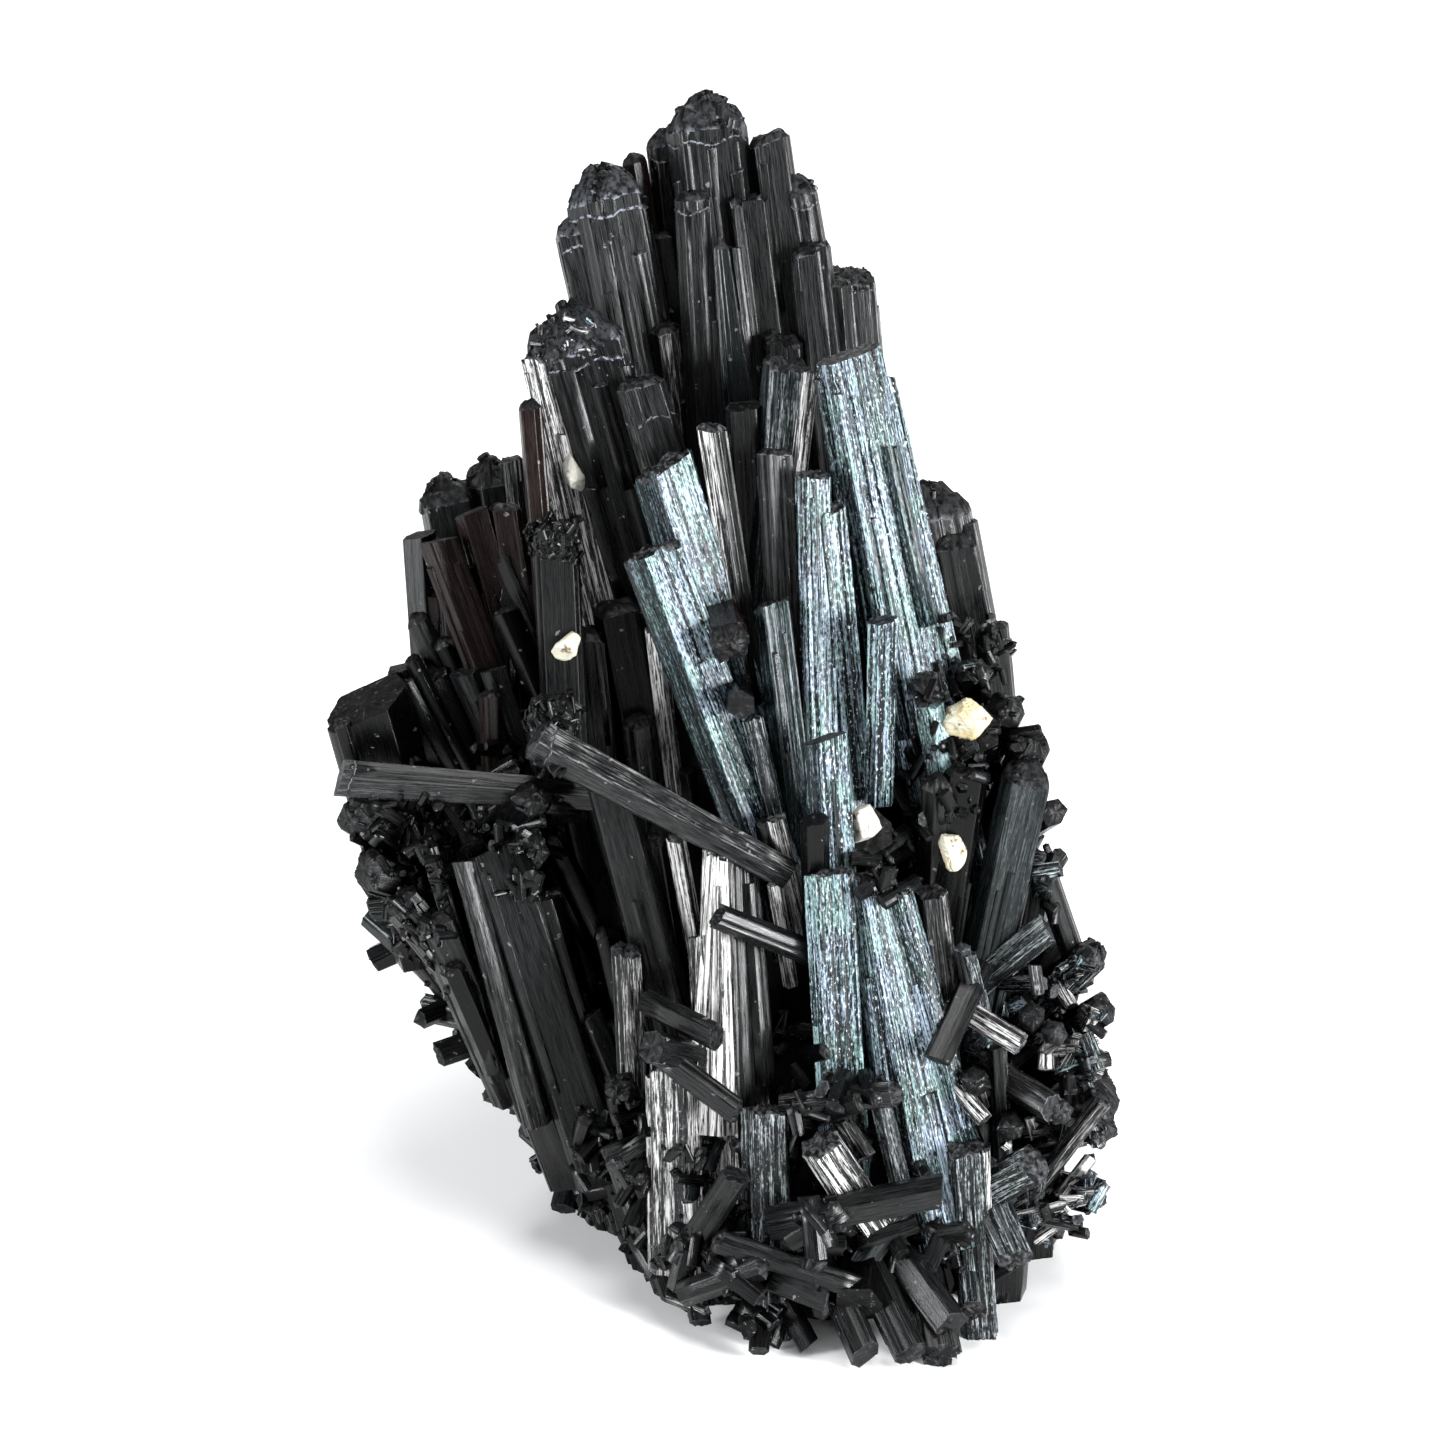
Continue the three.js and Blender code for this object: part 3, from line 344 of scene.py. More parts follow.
# Columns behind the ones that show, which fill the outline and fan out from below it, as in the CAD
FAN_CENTRE = 62
FAN_REACH = 70
FILLER_FROM, FILLER_TO, FILLER_STEP = 35, 71, 6.5
FILLER_LENGTH = 17
FILLER_WIDTH = (3.6, 5.2)
FILLER_TOP_GAP = 11
FILLER_BOTTOM_GAP = 6
FILLER_SPREAD = 3
FILLER_DEPTHS = (-11, -7)
FILLER_MIDDLE = 54
FILLER_FALL = 0.12
FILLER_LEAN_BACK = 0.25
# Slim dark prisms between them: how many are tried, the stretch that they fill, how far their tips are from
# the outline's top and bottom, which are too low to be made, and how near the eye, less so from a height on
SLIM_TRIES = 150
SLIM_ACROSS = (28, 73)
SLIM_TOP_GAP, SLIM_BOTTOM_GAP = 2.5, 8
SLIM_LOWEST = 9
SLIM_DEPTH, SLIM_DEPTH_SPREAD = -5.5, 3.5
SLIM_STEPS_BACK, SLIM_BACK_FROM, SLIM_BACK_OVER = 5, 68, 6
SLIM_LENGTH = (9, 18)
SLIM_WIDTH = (1.1, 2.5)
SLIM_LEAN_BACK = 0.22
SLIM_ENDS = ("broken", "blunt", "dome", "flat")

# The mass that the crystals grow from: height, then its left, right, front and back
CORE_LEVELS = [
    (-3, -5.5, 21, -17.5, 18),
    (9, -7.5, 22.5, -16, 21),
    (20, -13.5, 20.5, -9.5, 22.5),
    (31, -18, 18, -3.5, 23),
    (42, -15, 15.5, 3, 22.5),
    (52, -10, 10.5, 11.5, 21.5),
    (62, -5.5, 6.5, 16, 21),
    (69, -3, 4, 17.5, 20.5),
]
# How far its section is from an ellipse (1) towards a rectangle (0), on its left and on its right
CORE_ROUNDNESS = (1.12, 0.8)
# Its uneven surface: rings and points on each, lowest and highest ring, how far it lies inside the CAD core,
# the distance that a radian and a whole turn stand for, its hills as (size, height), and its all-black look
CORE_RINGS, CORE_POINTS = 56, 120
CORE_HEIGHTS = (0.02, 68.5)
CORE_INSET = 2.0
CORE_RADIUS = 17
CORE_ROUND = 110
CORE_HILLS = ((3.0, 0.45), (1.1, 0.25))
CORE_GRIT = 0.08
HOLLOW = (-1.0, 0.0, 0.0)

# Prisms against the core's sides and back: how many, the heights of their feet and tips, and their widths
MANTLE_ROWS = [
    (6, 44, 66, (4.0, 5.6)),
    (8, 29, 53, (4.4, 6.6)),
    (10, 13, 38, (4.6, 7.0)),
    (10, -4, 22, (4.6, 7.2)),
]
MANTLE_FROM, MANTLE_TO, MANTLE_OUT = -28, 206, 0.7
MANTLE_TIP_SPREAD = 8
MANTLE_LOOKS = ("dark", "grey", "steel", "dark")
# Slim prisms between those: the heights of their feet and tips, and how many
SLIM_MANTLE_ROWS = ((40, 66, 16), (26, 52, 24), (12, 38, 30), (-2, 24, 34))
SLIM_MANTLE_WIDTH = (1.2, 2.8)
SLIM_MANTLE_OUT = (0.4, 1.3)
SLIM_MANTLE_LOOKS = ("dark", "grey", "steel", "black")
# The outline of the back, as (right of the middle, height)
BACK_SKYLINE = [
    (-24, 30), (-20, 40), (-14, 52), (-9, 64), (0, 70), (5, 60), (11, 53), (15, 46), (18, 38), (22, 28),
    (27, 12),
]

# Crusts of short crystals in the front view: left, right, low and high edges, how many, widths, reach over
# width, the way they lean as (right, up, nearer), and their mix of looks
CRUSTS = [
    (47, 67, 5.0, 15, 320, (0.6, 2.0), (0.05, 0.55), (0.35, -0.7, 0.3), "dark"),
    (46, 56, 5.0, 16, 150, (0.4, 1.1), (0.05, 0.6), (0.1, -0.9, 0.2), "dark"),
    (47, 60, 14, 18.5, 60, (0.6, 1.7), (0.1, 0.6), (0.1, -0.4, 0.6), "dark"),
    (51, 60, 18, 23, 36, (0.6, 1.5), (0.1, 0.6), (0.1, -0.3, 0.7), "dark"),
    (54.5, 60.5, 18.5, 26, 50, (0.6, 1.6), (0.1, 0.5), (0.1, -0.2, 0.8), "dark"),
    (61.5, 67, 12.5, 19.5, 50, (0.6, 1.7), (0.1, 0.5), (0.1, -0.3, 0.8), "dark"),
    (66.5, 76, 12, 32, 200, (0.5, 1.4), (0.1, 0.6), (0.3, 0.1, 0.4), "bright"),
    (73, 76.4, 14, 34, 190, (0.35, 0.8), (0.0, 0.2), (0.2, 0, 0.3), "bright"),
    (69.5, 75, 31, 43, 60, (0.6, 1.6), (0.1, 0.5), (0.3, 0.2, 0.5), "grey"),
    (62, 66, 42, 49.5, 26, (0.5, 1.4), (0.1, 0.4), (0.2, 0.2, 0.7), "black"),
    (66, 71, 42, 54, 66, (0.4, 1.2), (0.1, 0.4), (0.2, 0.2, 0.7), "black"),
    (63.3, 65.4, 51.2, 53.4, 16, (0.3, 0.8), (0.1, 0.4), (0, 0.3, 0.7), "black"),
    (64.8, 70, 53, 57.5, 60, (0.3, 0.8), (0.1, 0.4), (0, 0.3, 0.7), "grey"),
    (59, 64, 38, 42.5, 56, (0.4, 1.3), (0.05, 0.3), (0, 0, 0.8), "black"),
    (25, 31, 28, 45, 260, (0.3, 0.9), (0.0, 0.25), (-0.3, -0.1, 0.5), "black"),
    (29.5, 35, 41, 46, 50, (0.3, 1.1), (0.1, 0.4), (-0.2, 0, 0.8), "black"),
    (34, 39, 38, 49, 90, (0.4, 1.3), (0.1, 0.4), (0, 0, 0.8), "black"),
    (36.3, 40, 49.5, 52, 46, (0.25, 0.6), (0.1, 0.5), (0, 0.5, 0.6), "black"),
    (36.3, 40, 61, 64.2, 84, (0.25, 0.6), (0.1, 0.6), (0, 0.6, 0.6), "black"),
    (36.2, 41.2, 75.4, 78.0, 46, (0.2, 0.5), (0.1, 0.4), (-0.1, 0.7, 0.4), "bright"),
    (40, 45, 11, 24, 120, (0.5, 1.5), (0.1, 0.4), (-0.2, -0.8, 0.4), "dark"),
    (45, 50, 17.5, 22, 14, (0.5, 1.2), (0.1, 0.4), (-0.2, -0.3, 0.8), "dark"),
    (50.5, 54.5, 23, 29, 14, (0.6, 1.4), (0.1, 0.5), (-0.2, -0.3, 0.8), "dark"),
    (51.5, 57, 25.5, 29.5, 10, (0.6, 1.5), (0.1, 0.5), (0, 0, 0.8), "dark"),
]
CRUST_MIXES = {
    "black": ("black", "black", "dark", "soot", "soot"),
    "dark": ("black", "black", "dark", "dark", "soot", "grey", "slate", "black", "sparkling"),
    "grey": ("black", "dark", "slate", "grey", "steel", "grey", "sparkling"),
    "bright": ("frosted", "steel", "pewter", "silver", "steel", "pewter", "silver", "sparkling", "teal"),
}
CRUST_ENDS = ("broken", "broken", "broken", "flat", "flat", "point")
# The share of a crust's crystals that lie against what they grow on, how far one may reach out of the solids'
# box, and how far crusts stay above the base and away from the middle of a feldspar grain
LYING = 0.62
STUB_OVERHANG = 0.2
CRUST_LOWEST = 0.8
GRAIN_CLEAR = 2.1
# The crust round the foot of the sides and back: how many are tried, between which angles, how high from the
# lowest, how wide, their reach over width, and how far out the search for a place begins
BACK_CRUST_TRIES = 330
BACK_CRUST_ANGLES = (-20, 194)
BACK_CRUST_LOW, BACK_CRUST_HEIGHT = 1.2, 24
BACK_CRUST_WIDTH = (0.9, 2.3)
BACK_CRUST_REACH = (0.1, 0.7)
OUTSIDE = 60

# Feldspar grains: CAD node, middle, half sizes, turn, and how far from cream to white it is
GRAINS = [
    ("feldspar_grain_right", (67.0, 50.4, -0.3), (1.75, 1.6, 2.0), 20, 0.1),
    ("feldspar_grain_centre", (60.1, 42.8, 0.6), (1.45, 1.35, 1.4), 50, 0.9),
    ("feldspar_grain_small", (65.9, 41.2, -1.0), (0.9, 1.2, 1.4), -20, 0.3),
    ("feldspar_flake_left", (39.2, 55.3, -2.9), (1.15, 1.0, 0.9), 62, 0.4),
    ("feldspar_flake_spire", (39.7, 67.1, -5.9), (0.8, 1.0, 1.5), -15, 0.9),
]
# Their surface: rows and columns, how many planes cleave them and how far from the middle, the heights of the
# planes' steps, and how far the rest reaches
GRAIN_ROWS, GRAIN_COLUMNS = 44, 68
CLEAVED = 9
CLEAVED_AT = (0.55, 0.85)
CLEAVED_STEPS = (0, 0.035, 0.06)
GRAIN_REACH = 1.12

# Seeds, of which the first three are the CAD's
FRONT_SEED, FILLER_SEED, MANTLE_SEED = 1, 5000, 6000
SMALL_SEED, SLIM_FRONT_SEED, SLIM_MANTLE_SEED = 301, 43, 41
CORE_GRIT_SEED, CORE_HILLS_SEED = 47, 48
CRUST_SEED, BACK_CRUST_SEED, GRAIN_SEED = 53, 54, 60
STREAM_MODULUS = 2**31 - 1


def stream(seed):
    """Numbers from 0 to 1, the same on every run and the same as the ones that shape the CAD prisms."""
    state = [(seed * 7919 + 12345) % STREAM_MODULUS]

    def draw():
        state[0] = (state[0] * 16807) % STREAM_MODULUS
        return state[0] / STREAM_MODULUS

    return draw


def random_from(rng):
    return lambda: float(rng.random())


def any_seed(rng):
    return int(rng.integers(0, 1 << 30))


def pick(rng, choices):
    return choices[int(rng.integers(0, len(choices)))]


def between(low, high, share):
    return low + (high - low) * share


def along_line(points, x, column=1):
    return float(np.interp(x, [p[0] for p in points], [p[column] for p in points]))


def from_view(place):
    right, up, nearer = place
    spread = (VIEW_DISTANCE - nearer) / VIEW_DISTANCE
    half = VIEW_WIDTH / 2
    return VIEW_CENTRE + RIGHT * (right - half) * spread + UP * (up - half) * spread + TO_EYE * nearer


def unit(v):
    return v / np.linalg.norm(v)


def outwards(angle):
    return np.array((math.cos(angle), math.sin(angle), 0))


def outline_at(right):
    return along_line(SKYLINE, right, 1), along_line(SKYLINE, right, 2)


def look_of(name):
    """A crystal's look and the side that it's lit from: -1 is left, 1 is right, and 0 is neither."""
    kind, *notes = name.split()
    return LOOKS[kind] + (sum(LIT_SIDES.get(note, 0) for note in notes),)


class Heap:
    """Gathers crystals into one mesh, with what its material reads at each corner of each face."""

    def __init__(self):
        self.points, self.loops, self.counts = [], [], []
        self.grain, self.look, self.end = [], [], []
        self.total = 0

    def add(self, points, corners, grain, look, end):
        """Faces of one kind, as the point numbers of their corners, with their values there."""
        sides = corners.shape[-1]
        self.points.append(points)
        self.total += len(points)
        self.loops.append(corners.reshape(-1))
        self.counts.append(np.full(corners.size // sides, sides))
        self.grain.append(grain.reshape(-1, 3))
        self.look.append(look.reshape(-1, 3))
        self.end.append(end.reshape(-1))

    def grid(self, points, grain, look, end):
        """Quads between rings, for points[ring, i]; grain and end have one more column, to close the ring."""
        rings, n = points.shape[:2]
        index = self.total + np.arange(rings * n).reshape(rings, n)

        def corners(values):
            return np.stack([values[:-1, :-1], values[:-1, 1:], values[1:, 1:], values[1:, :-1]], axis=2)

        quads = corners(np.concatenate([index, index[:, :1]], axis=1))
        looks = corners(np.broadcast_to(look, grain.shape))
        self.add(points.reshape(-1, 3), quads, corners(grain), looks, corners(end))
        return index

    def fan(self, rim, middle, grain_rim, grain_middle, look, end, flip):
        """Triangles from a ring of point numbers to a middle point."""
        pairs = [(rim, grain_rim), (np.roll(rim, -1), np.roll(grain_rim, -1, axis=0))]
        (first, first_grain), (second, second_grain) = pairs[::-1] if flip else pairs
        triangles = np.stack([first, second, np.full(len(rim), self.total)], axis=-1)
        grain = np.stack([first_grain, second_grain, np.tile(grain_middle, (len(rim), 1))], axis=1)
        looks = np.tile(look, (triangles.size, 1))
        self.add(np.reshape(middle, (1, 3)), triangles, grain, looks, np.full(triangles.size, end))

    def faces(self):
        """All points, the corners' point numbers, and each face's first corner and number of corners."""
        counts = np.concatenate(self.counts)
        starts = np.concatenate([[0], np.cumsum(counts)[:-1]])
        return np.concatenate(self.points), np.concatenate(self.loops), starts, counts

    def mesh(self, name):
        made = bpy.data.meshes.new(name)
        points, loops, starts, counts = self.faces()
        made.vertices.add(len(points))
        made.vertices.foreach_set("co", (points * MM).reshape(-1))
        made.loops.add(len(loops))
        made.loops.foreach_set("vertex_index", loops.astype(np.int32))
        made.polygons.add(len(counts))
        made.polygons.foreach_set("loop_start", starts.astype(np.int32))
        made.update(calc_edges=True)
        for attribute, values in (("grain", self.grain), ("look", self.look)):
            layer = made.attributes.new(attribute, "FLOAT_VECTOR", "CORNER")
            layer.data.foreach_set("vector", np.concatenate(values).astype(np.float32).reshape(-1))
        layer = made.attributes.new("end", "FLOAT", "CORNER")
        layer.data.foreach_set("value", np.concatenate(self.end).astype(np.float32))
        made.validate()
        return made


def lumps(x, z, cell, rng):
    """Smooth uneven ground from about -1 to 1 over a plane, with hills about a cell across."""
    total = np.zeros(np.broadcast(x, z).shape)
    waves, highest = 7, 3.2
    for _ in range(waves):
        angle, phase = rng.uniform(0, 2 * math.pi, 2)
        rate = 2 * math.pi / (cell * rng.uniform(0.6, 1.8))
        total += np.sin((x * math.cos(angle) + z * math.sin(angle)) * rate + phase)
    return total / highest


class Prism:
    """A prism's axes and section, which are those of its CAD prism, and its look."""

    def __init__(self, foot, tip, width, thickness, turn, end, taper, look, random):
        self.foot, self.width, self.turn, self.end, self.taper = foot, width, turn, end, taper
        self.look = look
        self.length = float(np.linalg.norm(tip - foot))
        self.along = (tip - foot) / self.length
        front = TO_EYE - 0.01 * UP
        self.front = unit(front - self.along * (front @ self.along))
        self.side = np.cross(self.along, self.front)
        reach = [1 + CORNER_SPREAD * (random() - 0.5) for _ in range(CORNERS)]
        self.slope = [random() - 0.5, random() - 0.5]
        self.slant = END_SLANT["round" if end in ("dome", "point") else "flat"]
        self.corners = self.section(reach, thickness)

    def section(self, reach, thickness):
        """The corners of the section, as (across, towards the eye)."""
        angles = (np.arange(CORNERS) + 0.5) * 2 * math.pi / CORNERS
        breadth = FACE_BREADTH["wide" if self.width >= WIDE_PRISM else "narrow"]
        across = np.sign(np.sin(angles)) * np.abs(np.sin(angles)) ** breadth
        corners = np.stack([across, np.cos(angles)], axis=1) * np.array(reach)[:, None]
        c, s = math.cos(math.radians(self.turn)), math.sin(math.radians(self.turn))
        corners = corners @ np.array(((c, -s), (s, c)))
        corners[:, 0] *= self.width / np.ptp(corners[:, 0])
        corners[:, 1] *= self.width * thickness / np.ptp(corners[:, 1])
        return corners

    def slanted(self, flat):
        """How much higher the slanting end is at points of the section."""
        return self.slant * (self.slope[0] * flat[:, 0] + self.slope[1] * flat[:, 1])

    def place(self, flat, up):
        """Where points of the section are, each at its own height along the prism."""
        return self.foot + flat[:, :1] * self.side + flat[:, 1:] * self.front + up[:, None] * self.along

    def cut_at_base(self, points):
        """Ends on the base's plane, along the prism's axis, whatever reaches below it."""
        below = np.minimum(points[..., 2], 0.0)
        if abs(self.along[2]) > STEEP:
            return points - (below / self.along[2])[..., None] * self.along
        return points - below[..., None] * np.array((0, 0, 1))

    def lowest(self):
        """How far along the prism the base's plane is, where it stands steep enough to be cut there."""
        if self.along[2] <= STEEP:
            return 0.0
        return max(0.0, -(self.foot[2] + 0.7 * self.width) / self.along[2])

    def groove(self, facet, least, rng):
        """Cuts the section's rim into narrow facets.

        It keeps points on the rim and the rim's whole length, and for each point the way in, how far round it
        is, how far in it is, and its face.
        """
        corners = self.corners
        points, inward, round_at, tilt, face = [], [], [], [], []
        travelled = 0.0
        for k in range(CORNERS):
            a, b = corners[k], corners[(k + 1) % CORNERS]
            length = np.linalg.norm(b - a)
            count = max(least, round(length / facet))
            uneven = rng.uniform(-FACET_SPREAD, FACET_SPREAD, count - 1)
            cuts = np.arange(count + 1) + np.concatenate([[0], uneven, [0]])
            cuts /= count
            way = np.array([a[1] - b[1], b[0] - a[0]]) / length
            if way @ (a + b) > 0:
                way = -way
            for j in range(count):
                for share in (cuts[j] + GROOVE, cuts[j + 1] - GROOVE):
                    points.append(a + (b - a) * share)
                    inward.append(way)
                    round_at.append(travelled + length * share)
                    face.append(k)
                lean = rng.normal(0, FACET_LEAN) * length * (cuts[j + 1] - cuts[j])
                step = abs(rng.normal(0, FACET_STEP))
                edge = 0.0 if j in (0, count - 1) else 1.0
                tilt += [step * edge + lean / 2, step * edge - lean / 2]
            travelled += length
        self.rim, self.inward = np.array(points), np.array(inward)
        self.round_at, self.tilt, self.face = np.array(round_at), np.array(tilt), np.array(face)
        self.around = travelled


def ring_heights(length, lowest, band, fine, rng):
    """The heights of the rings up a prism's sides, with three close ones at a line of frost."""
    rings = max(3, round((length - lowest) / (max(RING_GAP, length / 8) / fine)))
    inner = np.linspace(0, 1, rings + 1)[1:-1] + rng.uniform(-RING_SPREAD, RING_SPREAD, rings - 1) / rings
    heights = np.concatenate([[lowest], lowest + np.sort(inner) * (length - lowest), [length]])
    if band:
        heights = heights[np.abs(heights - length + band) > FROST_CLEAR]
        heights = np.sort(np.append(heights, length - band + np.array((-FROST_LINE, 0, FROST_LINE))))
    return heights


def ragged_rim(n, rng):
    """How far small groups of the rim's points are off the end's own height, from -1 to 0.35."""
    pairs = rng.integers(2, 6, n)
    group = np.cumsum(rng.random(n) < 1 / pairs.mean())
    return rng.uniform(-1, 0.35, group.max() + 1)[group]


def rim_looks(prism, rng):
    """The look round the rim: each face has its own random tone, partly painted light and shade, and only one
    side of some prisms is lit, which is painted light.
    """
    bright, tint, soot, _, _, lit_side = prism.look
    looks = np.tile(np.array((bright, tint, soot), float), (len(prism.face) + 1, 1))
    tones = rng.uniform(*(DARK_TONES if bright < 0.5 else BRIGHT_TONES), CORNERS)
    if lit_side:
        lit = np.clip((-prism.inward[:, 0] * lit_side + 0.1) / 0.2, 0, 1)
        looks[:-1, 0] = between(UNLIT[lit_side] * bright, bright, lit)
    if bright > 0:
        looks[:-1, 0] *= tones[prism.face]
    if bright <= MATT:
        looks[:-1, 0] = np.minimum(looks[:-1, 0], MATT)
    looks[-1] = looks[0]
    return looks


def crystal(
    heap, foot, tip, width, thickness, turn, end, taper, look, random, seed, ribs=True, fine=1.0
):
    """One grooved prism from foot to tip, and the slimmer ones grown along it.

    Random shapes its outline, for a prism of the CAD with the same numbers as there. Seed shapes its details,
    which are coarser where fine is below 1.
    """
    prism = Prism(foot, tip, width, thickness, turn, end, taper, look, random)
    if tip[2] < LOWEST_TIP:
        return
    rng = np.random.default_rng(seed)
    length, along = prism.length, prism.along
    bright, frost = look[0], look[3]
    band = look[4] if length > look[4] + 2 else 0
    ragged = ENDS[end][2]
    facet = max(FACET_WIDTH[0], min(FACET_WIDTH[1], width / FACETS_ACROSS)) / fine
    prism.groove(facet, 2 if fine >= 0.5 else 1, rng)
    n = len(prism.rim)
    relief = between(BLACK_RELIEF, 1.0, min(1.0, max(0.0, bright) / FULL_RELIEF_BRIGHT))
    relief = min(1.0, width / FULL_RELIEF_WIDTH) * relief
    lowest = prism.lowest()
    heights = ring_heights(length, lowest, band, fine, rng)
    wave = FROST_WAVE * np.sin(prism.round_at * 1.9 + seed) + rng.normal(0, 0.05, n)
    jag = ragged_rim(n, rng) * ragged * width
    frayed = FRAYED * width * ragged
    fade = np.clip((heights - (length - frayed - FRAYED_LEAST)) / (frayed + FRAYED_LEAST), 0, 1)

    sides = np.empty((len(heights), n, 3))
    for j, height in enumerate(heights):
        stray = rng.normal(0, PAIR_STRAY, n // 2).repeat(2) + rng.normal(0, POINT_STRAY, n)
        depth = (prism.tilt + stray) * relief
        flat = prism.rim * between(1, taper, height / length) + prism.inward * depth[:, None]
        up = height + fade[j] * (prism.slanted(flat) + jag)
        if band and abs(height - length + band) < 0.2:
            up = up + wave
        sides[j] = prism.place(flat, up)
    sides = prism.cut_at_base(sides)

    looks = rim_looks(prism, rng)
    grain = np.empty((len(heights), n + 1, 3))
    grain[..., 0] = np.append(prism.round_at, prism.around)
    grain[..., 1] = heights[:, None]
    grain[..., 2] = seed % PATTERNS
    ends = np.full((len(heights), n + 1), -1.0)
    if band:
        ends[np.abs(heights - length + band) < 0.01] = 1 + frost
    index = heap.grid(sides, grain, looks[None], ends)
    middle = prism.cut_at_base(foot + along * lowest)
    heap.fan(index[0], middle, grain[0, :-1], grain[0, 0], look[:3], -1, flip=True)

    rough_end(heap, prism, sides[-1], jag, 0.5 if band else 1, seed % PATTERNS, fine, rng)
    if end == "dome" and width >= WIDE_PRISM and fine == 1:
        crown(heap, prism, rng)
    if ribs and width > WIDE_PRISM and length > 9 and fine > 0.45:
        slim_along(heap, prism, looks, fine, rng)


def rough_end(heap, prism, last_ring, jag, rim_frost, pattern, fine, rng):
    """A prism's end, on rings that run in from its rim."""
    width, length, look, frost = prism.width, prism.length, prism.look[:3], prism.look[3]
    shape, rise, _, rough = ENDS[prism.end]
    flat = prism.rim * prism.taper
    pattern = np.full(len(flat), pattern)
    points, grain = [last_ring], [np.column_stack([flat, pattern])]
    same = rng.integers(0, 1 << 30)
    for share, lift in shape[::2] if fine < 0.45 else shape:
        inner = flat * share
        hills = lumps(inner[:, 0], inner[:, 1], max(0.5, width * 0.3), np.random.default_rng(same))
        grit = rng.normal(0, 0.25, len(flat)) * rough * width * min(1, share * 2)
        up = length + lift * width + hills * rough * width + grit + prism.slanted(inner)
        up += jag * max(0, (share - 0.5)) * 1.2
        points.append(prism.place(inner, up))
        grain.append(np.column_stack([inner, pattern]))
    points, grain = np.array(points), np.array(grain)
    wrapped = np.concatenate([grain, grain[:, :1]], axis=1)
    ends = np.full(wrapped.shape[:2], 1 + 0.12 * frost)
    ends[0] = 1 + frost * rim_frost
    index = heap.grid(prism.cut_at_base(points), wrapped, look, ends)
    middle = prism.cut_at_base(prism.foot + prism.along * (length + rise * width))
    heap.fan(index[-1], middle, grain[-1], grain[-1, 0] * 0, look, 1 + 0.12 * frost, flip=False)


def crown(heap, prism, rng):
    """The small crystal ends that a rough dome is made of."""
    _, tint, soot, frost, _, _ = prism.look
    for _ in range(int(prism.width * 4)):
        share = rng.uniform(0.05, 0.93)
        at = pick(rng, prism.rim) * prism.taper * share
        lift = 0.42 * prism.width * (1 - share**1.6)
        spot = prism.foot + at[0] * prism.side + at[1] * prism.front + (prism.length + lift) * prism.along
        out = unit(at[0] * prism.side + at[1] * prism.front + 1e-6 * prism.side)
        way = unit(prism.along + (0.2 + 0.7 * share**2) * out + 0.3 * rng.normal(0, 1, 3))
        size = rng.uniform(0.4, 1.0) * min(1, prism.width / 4)
        kind = pick(rng, ("broken", "blunt", "flat"))
        foot, tip = spot - way * size * 1.2, spot + way * size * rng.uniform(0.05, 0.5)
        turn = rng.uniform(0, SIXTH_TURN)
        crystal(
            heap, foot, tip, size, 0.9, turn, kind, 1, (0.1, tint, soot, 0.1 * frost, 0, 0),
            random_from(rng), any_seed(rng), ribs=False, fine=0.5,
        )


def slim_along(heap, prism, looks, fine, rng):
    """Slim prisms grown along the faces of a large one that look at the eye."""
    bright, tint, soot, frost, _, lit_side = prism.look
    width, length, side, front = prism.width, prism.length, prism.side, prism.front
    for _ in range(int(width * RIBS * (RIBS_LIT_SIDE if lit_side else 1))):
        share = rng.uniform(0.14, 0.3)
        spot = int(rng.choice(np.flatnonzero(prism.rim[:, 1] > -0.2 * width)))
        at = prism.rim[spot] + prism.inward[spot] * share * width * rng.uniform(0.15, 0.42)
        # A rib takes the brightness of the face that it grows on, painted light and shade included, with a
        # tone of its own
        shade = looks[spot, 0] * rng.uniform(0.6, 1.35)
        if bright <= MATT:
            shade = min(shade, MATT)
        drop = rng.uniform(0.0, 1.0) ** 1.5 * min(length * 0.75, 16)
        tip_up = length - drop - share * width * 0.2
        tip = prism.foot + at[0] * side * prism.taper + at[1] * front * prism.taper + prism.along * tip_up
        foot_up = max(0, tip_up - rng.uniform(7, 18))
        foot = prism.foot + at[0] * side + at[1] * front * 0.94 + prism.along * foot_up
        kind = "broken" if rng.random() < 0.7 else "blunt"
        turn = prism.turn + rng.uniform(-14, 14)
        crystal(
            heap, foot, tip, share * width, 0.9, turn, kind, 1, (shade, tint, soot, frost, 0, 0),
            random_from(rng), any_seed(rng), ribs=False, fine=0.75 * fine,
        )


def table_prisms(heap, rows, buried):
    """The prisms of a table's rows, which come with their seeds."""
    for seed, (_, tip, foot, width, thickness, turn, end, taper, look) in rows:
        tip, foot = from_view(tip), from_view(foot)
        foot = foot + unit(foot - tip) * buried
        crystal(heap, foot, tip, width, thickness, turn, end, taper, look_of(look), stream(seed), seed)


def front_prisms(heap, first=0, last=None):
    table_prisms(heap, list(enumerate(FRONT_CRYSTALS, FRONT_SEED))[first:last], FOOT_BURIED)


def small_prisms(heap):
    table_prisms(heap, enumerate(SMALL_CRYSTALS, SMALL_SEED), SMALL_FOOT_BURIED)


def leaning(right, up, nearer, length, lean, lean_back):
    """Foot and tip of a prism whose tip is at a place in the front view."""
    foot = from_view((right + lean * length, up - length, nearer - length * lean_back))
    return foot, from_view((right, up, nearer))


